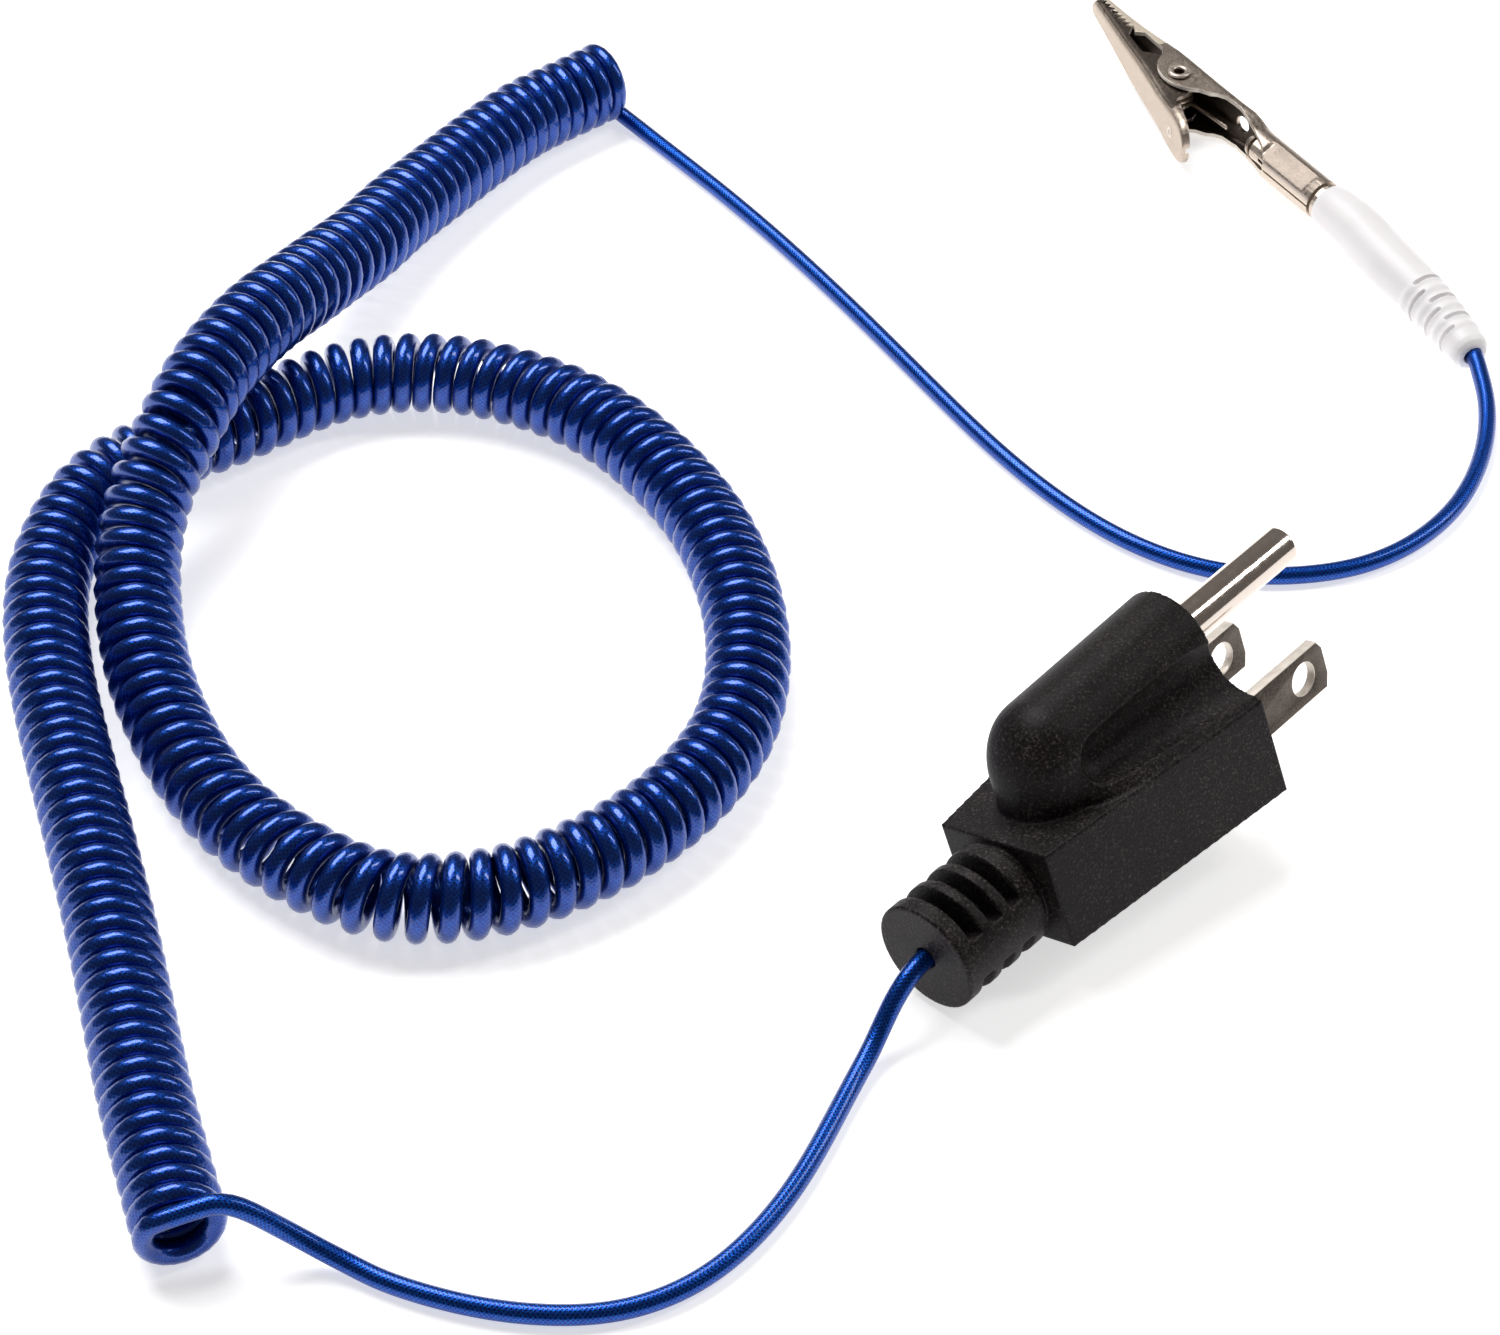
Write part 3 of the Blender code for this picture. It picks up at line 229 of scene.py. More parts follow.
class Nodes:
    """A material's node tree, with short calls for the nodes used here."""

    def __init__(self, name, color, roughness, metallic=0.0):
        self.material = bpy.data.materials.new(name)
        self.material.use_nodes = True
        self.tree = self.material.node_tree
        self.shader = self.tree.nodes["Principled BSDF"]
        self.set("Base Color", (*color, 1.0))
        self.set("Roughness", roughness)
        self.set("Metallic", metallic)

    def set(self, name, value):
        self.shader.inputs[name].default_value = value

    def node(self, kind, **inputs):
        """A new node. Capitalised names are its sockets, and the others its settings."""
        made = self.tree.nodes.new(kind)
        for name, value in inputs.items():
            if name[0].isupper():
                self.feed(made.inputs[name], value)
            else:
                setattr(made, name, value)
        return made

    def feed(self, socket, value):
        """The value, or another node's output, into the socket."""
        if hasattr(value, "is_linked"):
            self.tree.links.new(value, socket)
        else:
            socket.default_value = value

    def link(self, output, name):
        self.tree.links.new(output, self.shader.inputs[name])

    def object_place(self):
        return self.node("ShaderNodeTexCoord").outputs["Object"]

    def noise(self, place, scale, detail=3.0, rough=0.5):
        made = self.node("ShaderNodeTexNoise", Vector=place, Scale=scale, Detail=detail, Roughness=rough)
        return made.outputs["Fac"]

    def ramp(self, value, stops):
        made = self.node("ShaderNodeValToRGB", Fac=value)
        ramp = made.color_ramp
        while len(ramp.elements) < len(stops):
            ramp.elements.new(0.5)
        for element, (at, color) in zip(ramp.elements, stops):
            element.position = at
            element.color = (*color, 1.0)
        return made.outputs["Color"]

    def spread(self, value, low, high, start, end):
        """The stretch from start to end, made to run from low to high."""
        made = self.node("ShaderNodeMapRange", Value=value)
        made.inputs["From Min"].default_value = start
        made.inputs["From Max"].default_value = end
        made.inputs["To Min"].default_value = low
        made.inputs["To Max"].default_value = high
        return made.outputs["Result"]

    def math(self, operation, a, b=0.0):
        made = self.node("ShaderNodeMath", operation=operation)
        self.feed(made.inputs[0], a)
        self.feed(made.inputs[1], b)
        return made.outputs[0]

    def bump(self, height, strength, distance):
        made = self.node("ShaderNodeBump", Strength=strength, Distance=distance, Height=height)
        return made.outputs["Normal"]


def cord_blue(name, lift, hatch, coat):
    """Glossy blue over a fine braid that shows through: lift brightens the blue, and hatch the braid."""
    m = Nodes(name, (0.008, 0.05, 0.3), 0.34, 0.85)
    uv = m.node("ShaderNodeUVMap", uv_map="along_and_round").outputs["UV"]
    split = m.node("ShaderNodeSeparateXYZ", Vector=uv)
    along, turn = split.outputs[0], split.outputs[1]
    place = m.object_place()
    stray = m.math("MULTIPLY", m.noise(place, 700.0, 2.0), 2.0)
    lay = m.math("ADD", m.math("MULTIPLY", along, math.tau / BRAID_PITCH), stray)
    wrap = m.math("MULTIPLY", turn, math.tau * BRAID_STRANDS)
    one = m.math("SINE", m.math("ADD", lay, wrap))
    two = m.math("SINE", m.math("SUBTRACT", lay, wrap))
    weave = m.math("SUBTRACT", m.math("MAXIMUM", one, two), 0.35)
    glint = m.math("ADD", m.math("MULTIPLY", weave, hatch), m.noise(place, 3800.0, 2.0))
    blues = (
        (0.0, (0.0, 0.006 * lift, 0.12 * lift)), (0.45, (0.0005, 0.034 * lift, 0.28 * lift)),
        (0.8, (0.003, 0.1 * lift, 0.45 * lift)), (1.0, (0.02, 0.22 * lift, 0.68 * lift)),
    )
    m.link(m.ramp(m.spread(glint, 0.0, 1.0, -0.1, 1.2), blues), "Base Color")
    m.link(m.bump(glint, 0.5, 0.05 * MM), "Normal")
    m.set("Coat Weight", coat)
    m.set("Coat Roughness", 0.06)
    m.set("Coat IOR", 1.55)
    return m.material


def black_pvc():
    """Moulded black PVC with a fine spark-eroded grain that glitters a little: its brightest specks are
    painted glints in the colour.
    """
    m = Nodes("black_pvc", (0.012, 0.0108, 0.011), 0.45)
    place = m.object_place()
    grain = m.noise(place, 3000.0, 2.0, 0.7)
    cloud = m.noise(place, 130.0, 3.0, 0.6)
    both = m.math("ADD", grain, m.math("MULTIPLY", cloud, 0.25))
    # The two top stops are painted glints: grain specks made far lighter than the black.
    blacks_and_painted_glints = (
        (0.5, (0.0055, 0.0043, 0.0043)), (0.68, (0.0145, 0.0115, 0.0117)),
        (0.8, (0.06, 0.05, 0.05)), (0.95, (0.13, 0.112, 0.112)),
    )
    m.link(m.ramp(both, blacks_and_painted_glints), "Base Color")
    m.link(m.spread(both, 0.4, 0.58, 0.5, 0.8), "Roughness")
    m.link(m.bump(grain, 0.7, 0.1 * MM), "Normal")
    m.set("Specular IOR Level", 0.14)
    return m.material


def white_pvc():
    """Satin white PVC."""
    m = Nodes("white_pvc", (0.86, 0.845, 0.85), 0.42)
    place = m.object_place()
    cloud = m.noise(place, 160.0, 3.0)
    grain = m.noise(place, 1500.0, 2.0)
    m.link(m.ramp(cloud, ((0.3, (0.85, 0.83, 0.84)), (0.7, (0.9, 0.885, 0.89)))), "Base Color")
    m.link(m.bump(grain, 0.12, 0.04 * MM), "Normal")
    m.set("Subsurface Weight", 0.15)
    m.set("Subsurface Radius", (0.0012, 0.001, 0.001))
    m.set("Subsurface Scale", 0.8)
    return m.material


def nickel(name, color, roughness, grain, scale, depth, metallic=1.0):
    """Nickel plate, slightly warm: grain is how far its specks stand out, and depth how dark they get."""
    m = Nodes(name, color, roughness, metallic)
    place = m.object_place()
    fine = m.noise(place, scale, 3.0, 0.6)
    cloud = m.noise(place, 420.0, 3.0, 0.6)
    both = m.math("ADD", m.math("MULTIPLY", fine, 0.72), m.math("MULTIPLY", cloud, 0.28))
    dark = tuple(c * depth for c in color)
    m.link(m.ramp(both, ((0.32, dark), (0.62, color))), "Base Color")
    m.link(m.spread(fine, roughness * 0.7, roughness * 1.5, 0.3, 0.7), "Roughness")
    m.link(m.bump(fine, grain, 0.05 * MM), "Normal")
    return m.material


def plain(name, color, roughness, metallic=0.0):
    """A hidden piece's finish, with a faint grain."""
    m = Nodes(name, color, roughness, metallic)
    fine = m.noise(m.object_place(), 900.0, 2.0)
    darker = tuple(c * 0.85 for c in color)
    m.link(m.ramp(fine, ((0.3, darker), (0.7, color))), "Base Color")
    m.link(m.bump(fine, 0.1, 0.03 * MM), "Normal")
    return m.material


# ---- room


def add_light(name, place, at, size, power):
    """A soft rectangular light at place, facing the point at."""
    data = bpy.data.lights.new(name, "AREA")
    data.shape = "RECTANGLE"
    data.size, data.size_y = size
    data.energy = power
    light = placed(name, data)
    light.location = place
    light.rotation_euler = (Vector(at) - Vector(place)).to_track_quat("-Z", "Y").to_euler()
    return light


def room():
    """Camera, pale floor and soft light."""
    scene = bpy.context.scene
    scene.view_settings.view_transform = "Standard"
    camera = bpy.data.cameras.new("camera")
    camera.lens = CAMERA_LENS
    camera.sensor_width = 36.0
    camera.clip_start = 0.01
    scene.camera = placed("camera", camera)
    scene.camera.location = CAMERA_PLACE
    scene.camera.rotation_euler = (math.radians(CAMERA_TILT), 0.0, 0.0)

    bm = bmesh.new()
    corners = ((-1, -1), (1, -1), (1, 1), (-1, 1))
    bm.faces.new([bm.verts.new((x * FLOOR_HALF, y * FLOOR_HALF, FLOOR_LEVEL)) for x, y in corners])
    floor = mesh_object("floor", bm, 0)
    white = Nodes("floor_white", (0.93, 0.93, 0.93), 0.9)
    faint = white.noise(white.object_place(), 6.0, 2.0)
    white.link(white.ramp(faint, ((0.3, (0.925, 0.925, 0.925)), (0.7, (0.935, 0.935, 0.935)))), "Base Color")
    white.set("Specular IOR Level", 0.0)
    white.set("Emission Color", (1.0, 1.0, 1.0, 1.0))
    white.set("Emission Strength", 0.62)
    paint(floor, white.material)

    world = bpy.data.worlds.new("world")
    scene.world = world
    world.use_nodes = True
    back = world.node_tree.nodes["Background"]
    back.inputs["Color"].default_value = (0.95, 0.84, 0.76, 1.0)
    back.inputs["Strength"].default_value = 0.1
    lights = [
        add_light("key", (-0.3, 0.3, 0.7), (-0.05, 0, 0), (0.6, 0.42), 6.5),
        add_light("right", (0.5, 0.12, 0.5), (-0.05, 0, 0), (0.12, 0.5), 1.6),
    ]


# ---- plug


def loft(bm, rings):
    """A closed skin through the rings, which all have the same number of points."""
    made = [[bm.verts.new(p) for p in ring] for ring in rings]
    for a, b in zip(made, made[1:]):
        for i in range(len(a)):
            j = (i + 1) % len(a)
            bm.faces.new((a[i], a[j], b[j], b[i]))
    bm.faces.new(made[0])
    bm.faces.new(reversed(made[-1]))


def turned(bm, profile, count, place=Matrix.Identity(4)):
    """A turned body about local Z. The profile is (radius, z) pairs round a closed section."""
    rings = []
    for i in range(count):
        turn = math.tau * i / count
        x, y = math.cos(turn), math.sin(turn)
        rings.append([bm.verts.new(place @ Vector((r * x, r * y, z))) for r, z in profile])
    on_axis = [abs(r) < 1e-9 for r, _ in profile]
    for i in range(count):
        a, b = rings[i], rings[(i + 1) % count]
        for k in range(len(profile)):
            m = (k + 1) % len(profile)
            if on_axis[k] and on_axis[m]:
                continue
            bm.faces.new((a[k], a[m], b[m], b[k]))
    bmesh.ops.remove_doubles(bm, verts=bm.verts, dist=1e-7)
    bmesh.ops.dissolve_degenerate(bm, dist=1e-7, edges=bm.edges)


def circle(radius, count, centre=(0.0, 0.0)):
    """Points round a circle, in the plane of the centre's two numbers."""
    turns = [math.tau * i / count for i in range(count)]
    return [(centre[0] + radius * math.cos(a), centre[1] + radius * math.sin(a)) for a in turns]


def box(bm, low, high):
    corners = ((low[0], low[1]), (high[0], low[1]), (high[0], high[1]), (low[0], high[1]))
    loft(bm, [[(x, y, z) for x, y in corners] for z in (low[2], high[2])])


def arc_slot(bm, inner, outer, low, high, middle, half, place):
    """Part of a ring about local Z: half to each side of the angle middle, and from low to high."""
    outline = []
    for radius, order in ((outer, 1), (inner, -1)):
        angles = [middle + half * (i / 8 - 1) for i in range(17)]
        outline += [(radius * math.cos(a), radius * math.sin(a)) for a in angles[::order]]
    loft(bm, [[place @ Vector((x, y, z)) for x, y in outline] for z in (low, high)])


def combined(name, bm, others):
    """A mesh from bm, joined with or cut by the (mode, bmesh) pairs in turn."""
    base = mesh_object(name, bm, 0)
    helpers = []
    for mode, other in others:
        helper = mesh_object(name + "_helper", other, 0)
        modifier = base.modifiers.new("step", "BOOLEAN")
        modifier.operation, modifier.object, modifier.solver = mode, helper, "EXACT"
        helpers.append(helper)
    return applied(base, helpers)


def applied(obj, helpers=()):
    """obj with its modifiers made real and its helpers gone."""
    bpy.context.view_layer.update()
    solid = obj.evaluated_get(bpy.context.evaluated_depsgraph_get())
    mesh = bpy.data.meshes.new_from_object(solid)
    obj.modifiers.clear()
    obj.data = mesh
    for helper in helpers:
        bpy.data.objects.remove(helper, do_unlink=True)
    return obj


def softened(obj, voxel):
    """The piece as one skin with its edges eased, as a moulded piece has them."""
    remesh = obj.modifiers.new("skin", "REMESH")
    remesh.mode, remesh.voxel_size, remesh.use_smooth_shade = "VOXEL", voxel, True
    ease = obj.modifiers.new("ease", "SMOOTH")
    ease.factor, ease.iterations = 0.5, 3
    applied(obj)
    obj.data.shade_smooth()


# The plug's front face is at y = 0 and its cord leaves towards -Y; the ground pin is above the two blades.
BLADE_X, BLADE_HALF, BLADE_THICK_HALF, BLADE_LENGTH = 6.35 * MM, 3.175 * MM, 0.775 * MM, 16.2 * MM
BLADE_HOLE_AT, BLADE_HOLE_RADIUS = 11.9 * MM, 2.0 * MM
PIN_LENGTH, PIN_RADIUS, PIN_RISE = 21.3 * MM, 2.4 * MM, 11.9 * MM
BLOCK_LENGTH, BLOCK_TOP, BLOCK_BOTTOM = 33.4 * MM, 6.1 * MM, -6.5 * MM
BLOCK_FRONT_HALF, BLOCK_REAR_HALF = 12.24 * MM, 8.2 * MM
FACE_SPARE = 0.3 * MM  # the mouldings start this far in front, and the face is then cut flat
HOOD_RADIUS, HOOD_STRAIGHT, HOOD_NOSE = 6.4 * MM, 22.5 * MM, 7.0 * MM
RELIEF_LENGTH, RELIEF_RADIUS, RELIEF_Z = 13.9 * MM, 6.75 * MM, -0.45 * MM
MOULDED_VOXEL = 0.19 * MM
EDGE_WIDTH = 0.13 * MM  # of the broken edges of sheet metal


def block_half(y):
    return BLOCK_FRONT_HALF + (BLOCK_FRONT_HALF - BLOCK_REAR_HALF) * y / BLOCK_LENGTH


def hood_section(y):
    """The raised housing round the ground pin, cut across at y, before its side scoops."""
    arc_steps, flare_steps = 28, 10
    back = max(0.0, -HOOD_STRAIGHT - y) / HOOD_NOSE
    shrink = math.sqrt(max(0.0, 1.0 - back * back))
    crown = HOOD_RADIUS * shrink
    middle = PIN_RISE + 0.9 * MM * y / BLOCK_LENGTH - (1 - shrink) * 3.2 * MM
    close = min(1.0, max(0.0, -16.5 * MM - y) / (7.5 * MM))
    flare = (block_half(y) - 0.6 * MM - crown) * math.sqrt(1 - close * close)
    foot = crown + (0.25 * MM + flare) * shrink
    half = [(crown * math.cos(a), middle + crown * math.sin(a))
            for a in (math.pi / 2 * (1 - i / arc_steps) for i in range(arc_steps + 1))]
    sill = BLOCK_TOP + 0.05 * MM
    for i in range(1, flare_steps + 1):
        t = i / flare_steps
        half.append((crown + (foot - crown) * t**1.2, middle + (sill - middle) * t))
    half.append((foot, BLOCK_TOP - 1.0 * MM))
    mirrored = [(-x, z) for x, z in reversed(half[1:])]
    return [(x, y, z) for x, z in half + mirrored]


def hood_scoop(bm, side):
    """A pear-shaped hollow beside the crown, wide at the front and tight and deep at its rounded rear end."""
    rings = []
    stations = [(y, 1.0) for y in (2.0, 0.0, -5.0, -10.0, -15.0, -18.0, -20.0)]
    stations += [(-20.0 - 3.4 * math.sin(a), math.cos(a)) for a in map(math.radians, range(12, 85, 12))]
    for y, share in stations:
        full = np.interp(y, (-20.0, -10.0, 0.0, 2.0), (3.1, 3.9, 5.0, 5.2)) * MM
        bite = np.interp(y, (-24.0, -20.0, -10.0, 0.0), (2.3, 2.2, 1.4, 0.2)) * MM
        centre_x = side * (HOOD_RADIUS - bite + full)
        centre_z = BLOCK_TOP + np.interp(y, (-20.0, 0.0), (1.3, 0.45)) * MM + full
        rings.append([(x, y * MM, z) for x, z in circle(share * full, 40, (centre_x, centre_z))])
    loft(bm, rings)


def plug_block(bm):
    """The plug's block, narrowing towards the cord."""
    rings = []
    for y, half in ((FACE_SPARE, BLOCK_FRONT_HALF), (-BLOCK_LENGTH, BLOCK_REAR_HALF)):
        corners = ((half, BLOCK_TOP), (-half, BLOCK_TOP), (-half, BLOCK_BOTTOM), (half, BLOCK_BOTTOM))
        rings.append([(x, y, z) for x, z in corners])
    loft(bm, rings)


def make_plug(material):
    """The moulded plug: block, hood and slotted strain relief as one skin."""
    rearward = Matrix.Rotation(math.radians(90), 4, "X")
    to_rear = Matrix.Translation((0, -BLOCK_LENGTH, RELIEF_Z)) @ rearward
    block = bmesh.new()
    plug_block(block)
    hood = bmesh.new()
    front = [FACE_SPARE - i * (FACE_SPARE + HOOD_STRAIGHT) / 34 for i in range(35)]
    nose = [-HOOD_STRAIGHT - HOOD_NOSE * math.sin(math.radians(a)) for a in range(6, 87, 6)]
    loft(hood, [hood_section(y) for y in front + nose])
    relief = bmesh.new()
    end, rim = RELIEF_LENGTH, 0.15 * MM
    neck = RELIEF_RADIUS - 0.95 * MM
    turned(relief, ((0.0, -1.5 * MM), (neck, -1.5 * MM), (neck, 0.5 * MM), (RELIEF_RADIUS, 1.1 * MM),
                    (RELIEF_RADIUS, end - rim), (RELIEF_RADIUS - rim, end), (0.0, end)), 96, to_rear)
    scoops = bmesh.new()
    for side in (-1, 1):
        hood_scoop(scoops, side)
    slots = bmesh.new()
    for i in range(3):
        low = RELIEF_LENGTH - 2.2 * MM - i * 3.3 * MM
        for middle in (90, 270):
            arc_slot(slots, 3.3 * MM, RELIEF_RADIUS + 1 * MM, low - 1.9 * MM, low, math.radians(middle),
                     math.radians(68), to_rear)
    holes = bmesh.new()
    for side in (-1, 1):
        x, wide, tall = side * BLADE_X, 0.95 * MM, 3.35 * MM
        box(holes, (x - wide, -2.5 * MM, -tall), (x + wide, 2 * MM, tall))
    at_pin = Matrix.Translation((0, 2 * MM, PIN_RISE)) @ rearward
    turned(holes, ((0, 0), (2.55 * MM, 0), (2.55 * MM, 4.5 * MM), (0, 4.5 * MM)), 48, at_pin)
    at_cord = Matrix.Translation((0, -44 * MM, RELIEF_Z)) @ rearward
    turned(holes, ((0, 0), (1.3 * MM, 0), (1.3 * MM, 6 * MM), (0, 6 * MM)), 32, at_cord)
    face = bmesh.new()
    box(face, (-20 * MM, 0.0, -12 * MM), (20 * MM, 6 * MM, 24 * MM))
    crown = combined("hood", hood, (("DIFFERENCE", scoops),))
    hood = bmesh.new()
    hood.from_mesh(crown.data)
    bpy.data.objects.remove(crown, do_unlink=True)
    plug = combined("plug", block, (("UNION", hood), ("UNION", relief), ("DIFFERENCE", slots),
                                    ("DIFFERENCE", face), ("DIFFERENCE", holes)))
    softened(plug, MOULDED_VOXEL)
    plug.data.transform(PLUG)
    paint(plug, material)
    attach(plug, "plug_and_cord")
    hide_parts("plug_housing")


def bevelled(obj, index, segments=2, angle=32):
    """Edges sharper than angle broken. The broken edges take the finish at index."""
    step = obj.modifiers.new("edges", "BEVEL")
    step.width, step.segments = EDGE_WIDTH, segments
    step.limit_method, step.angle_limit = "ANGLE", math.radians(angle)
    while len(obj.data.materials) <= index:
        obj.data.materials.append(None)
    step.material = index
    applied(obj)
    obj.data.shade_smooth()
    obj.data.set_sharp_from_angle(angle=math.radians(30))


def finished(obj, place, materials, body, node):
    """obj in its place on its body, with its finishes, standing in for the CAD node."""
    obj.data.transform(place)
    for i, each in enumerate(materials):
        if i < len(obj.data.materials):
            obj.data.materials[i] = each
        else:
            obj.data.materials.append(each)
    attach(obj, body)
    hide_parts(node)


def make_pins(brushed, rim, polished):
    """The two blades with their holes and chamfered tips, and the round ground pin."""
    for name, side in (("blade_left", -1), ("blade_right", 1)):
        x, half, length, rear = side * BLADE_X, BLADE_HALF, BLADE_LENGTH, -9.0 * MM
        shoulder, tip_half, tip_thick_half = length - 1.0 * MM, half - 1.4 * MM, 0.4 * MM
        outline = ((rear, -half), (shoulder, -half), (length, -tip_half), (length, tip_half),
                   (shoulder, half), (rear, half))
        bm = bmesh.new()
        sides = (x - BLADE_THICK_HALF, x + BLADE_THICK_HALF)
        loft(bm, [[(across, y, z) for y, z in outline] for across in sides])
        for vert in bm.verts:
            if vert.co.y > length - 0.01 * MM:
                vert.co.x = x + math.copysign(tip_thick_half, vert.co.x - x)
        hole = bmesh.new()
        through = Matrix.Translation((x, BLADE_HOLE_AT, 0)) @ Matrix.Rotation(math.radians(90), 4, "Y")
        radius = BLADE_HOLE_RADIUS
        turned(hole, ((0, -3 * MM), (radius, -3 * MM), (radius, 3 * MM), (0, 3 * MM)), 64, through)
        made = combined("skin_" + name, bm, (("DIFFERENCE", hole),))
        # The broken edges and hole rims take the rim finish, a lighter copy of the plating: a painted
        # highlight.
        bevelled(made, 1, segments=3, angle=25)
        for face in made.data.polygons:
            if abs(face.normal.x) < 0.9:
                face.material_index = 1
        finished(made, PLUG, (brushed, rim), "plug_and_cord", name)
    bm = bmesh.new()
    centre = (PIN_RADIUS - 0.45 * MM, PIN_LENGTH - 0.9 * MM)
    arc = [(centre[0] + 0.45 * MM * math.cos(a), centre[1] + 0.45 * MM * math.sin(a))
           for a in map(math.radians, range(0, 81, 9))]
    profile = [(0.0, -9.6 * MM), (PIN_RADIUS, -9.6 * MM), *arc,
               (PIN_RADIUS - 1.4 * MM, PIN_LENGTH - 0.08 * MM), (0.0, PIN_LENGTH)]
    turned(bm, profile, 96, Matrix.Translation((0, 0, PIN_RISE)) @ Matrix.Rotation(math.radians(-90), 4, "X"))
    pin = mesh_object("skin_ground_pin", bm)
    finished(pin, PLUG, (polished,), "plug_and_cord", "ground_pin")


# ---- clip

# The clip lies along X from its barrel's mouth at x = 0, with its frame's back towards -Y.
SHEET = 0.6 * MM
RIVET_AT, RIVET_HOLE = (31.0 * MM, 2.2 * MM), 1.35 * MM
BARREL_RADIUS = 2.85 * MM
BARREL_FLAT_ANGLE, BARREL_FLAT_LEVEL = math.radians(28), 2.4 * MM
# Points on half a section, with those on its back and round its bend.
HALF_POINTS, BACK_POINTS, BEND_STEPS = 44, 8, 12
TEETH, TOOTH_DEPTH, TOOTH_LEAN = 8, 0.65 * MM, 0.35
PRESSED_RING_AT, PRESSED_RING_RADIUS, PRESSED_RING_WIRE = 33.1 * MM, 0.62 * MM, 0.16 * MM
SPRING_WIRE = 0.36 * MM
# A folded sheet's finishes, in the order of its materials: the edge, inner, tip, wall and flat ones are
# lighter or darker copies of one plating, painted light and shade.
WALL, BACK, EDGE_HIGHLIGHT, INNER_SHADE, TIP_LIT, FLAT = range(6)


def prism(outline, half):
    """A solid with the outline as its side view, reaching half to each side of the middle."""
    bm = bmesh.new()
    loft(bm, [[(x, y, z) for x, y in outline] for z in (-half, half)])
    return bm


def evenly(line, count):
    """The line with count points, equally spaced."""
    line = np.array(line)
    run = lengths(line)
    at = np.linspace(0, run[-1], count)
    return np.stack([np.interp(at, run, line[:, i]) for i in range(line.shape[1])], axis=1)


def corner(half, bend):
    """The bend from a channel's back to its wall, as (z, y)."""
    turns = [math.radians(90 * i / BEND_STEPS) for i in range(BEND_STEPS + 1)]
    return [(half - bend + bend * math.sin(a), bend - bend * math.cos(a)) for a in turns]


def channel_path(half, depth, bend):
    """Half of a folded channel's middle line as (z, y), from the back's middle to a wall's edge."""
    return evenly([(0.0, 0.0), *corner(half, bend), (half, depth)], HALF_POINTS)


def folded_path(half, depth, bend):
    """The same half line with its points shared out alike at every station, so a finish ends along a bend."""
    back = [((half - bend) * i / BACK_POINTS, 0.0) for i in range(BACK_POINTS)]
    gaps = HALF_POINTS - BACK_POINTS - BEND_STEPS - 1
    wall = [(half, bend + (depth - bend) * i / gaps) for i in range(gaps + 1)]
    return np.array([*back, *corner(half, bend)[:-1], *wall])


def barrel_path(radius):
    """The same half line rolled up into a barrel, with a narrow seam left open at the end."""
    turns = np.linspace(0, math.radians(176.5), HALF_POINTS)
    return np.stack([radius * np.sin(turns), -radius * np.cos(turns)], axis=1)


def sheet_ring(x, half):
    """A closed section of sheet metal at x, from the half line on each side of the middle."""
    line = np.concatenate([half[:0:-1] * (-1, 1), half])
    slope = np.gradient(line, axis=0)
    normal = np.stack([-slope[:, 1], slope[:, 0]], axis=1)
    normal /= np.linalg.norm(normal, axis=1)[:, None]
    section = np.concatenate([line + normal * SHEET / 2, (line - normal * SHEET / 2)[::-1]])
    return [(x, y, z) for z, y in section]


def saw_edge(start, end):
    """A jaw's row of teeth from start to end, both in millimetres."""
    start, end = np.array(start) * MM, np.array(end) * MM
    along = (end - start) / TEETH
    across = np.array([-along[1], along[0]]) * (-TOOTH_DEPTH / np.linalg.norm(along))
    out = []
    for i in range(TEETH):
        out += [tuple(start + along * i), tuple(start + along * (i + TOOTH_LEAN) + across)]
    return out + [tuple(end)]


def mm_points(*pairs):
    """The pairs of millimetres in metres."""
    return [(x * MM, y * MM) for x, y in pairs]


def arc_points(centre, radius, degrees):
    """Points at the given angles on a circle."""
    x, y = centre
    return [(x + radius * math.cos(a), y + radius * math.sin(a)) for a in map(math.radians, degrees)]


def frame_outline():
    """The frame's side view: jaw with teeth, ear round the rivet, and a tail cut open down to the barrel."""
    tip = mm_points((57.0, -6.0), (56.4, -2.5))
    teeth = saw_edge((55.6, -2.3), (46.2, -1.1))
    notch = mm_points((44.7, -0.1), (43.6, -1.1), (38.3, -0.2))
    ear = arc_points((31.2 * MM, -1.45 * MM), 5.9 * MM, range(24, 145, 4))
    tail = mm_points((24.9, 1.2), (24.2, 0.4), (23.0, -0.25), (20.0, -0.5), (17.0, 0.1), (15.2, 0.5),
                     (12.6, 1.3), (10.4, 2.35), (9.4, 6.0), (-2.0, 6.0), (-2.0, -6.0))
    return [*tip, *teeth, *notch, *ear, *tail]


def jaw_outline():
    """The moving jaw's side view: teeth, notch, ear inside the frame's ear, and thumb lever."""
    teeth = saw_edge((55.6, -1.85), (46.2, -0.65))
    notch = mm_points((44.9, 0.9), (39.9, 2.3), (38.0, 0.9))
    ear = arc_points(RIVET_AT, 3.0 * MM, range(-35, -186, -5))
    rear = mm_points((27.2, 3.5), (27.1, 5.3), (26.3, 6.1), (24.6, 6.6), (22.5, 7.4), (19.0, 8.8),
                     (19.0, 13.0), (58.0, 3.0), (58.0, -2.1))
    return [*teeth, *notch, *ear, *rear]


def sheet_finish(obj, inward, from_x, to_x, height):
    """Painted highlight where the sheet is cut, painted shade inside the channel, grainy and darker with
    painted shade on the walls from from_x to to_x, smooth elsewhere. Inward is the way the channel opens, and
    height is a place's distance that way."""
    for face in obj.data.polygons:
        x, facing_inward = face.center.x, face.normal.dot(inward) > 0.5
        facing_middle = face.normal.z * face.center.z < -0.5 * abs(face.center.z)
        # Broken edges, and the high inward faces that are the sheet's cut edges, take the edge finish: a
        # painted highlight.
        if face.material_index == EDGE_HIGHLIGHT:
            continue
        if facing_inward and x > 17 * MM and height(face.center) > 1.3 * MM:
            face.material_index = EDGE_HIGHLIGHT
        # Faces inside the channel take the dark inner copy of the plating: painted shade.
        elif (facing_inward or facing_middle) and x > 16.5 * MM:
            face.material_index = INNER_SHADE
        elif abs(face.normal.z) > 0.8 and from_x < x < to_x:
            face.material_index = WALL
        else:
            face.material_index = BACK


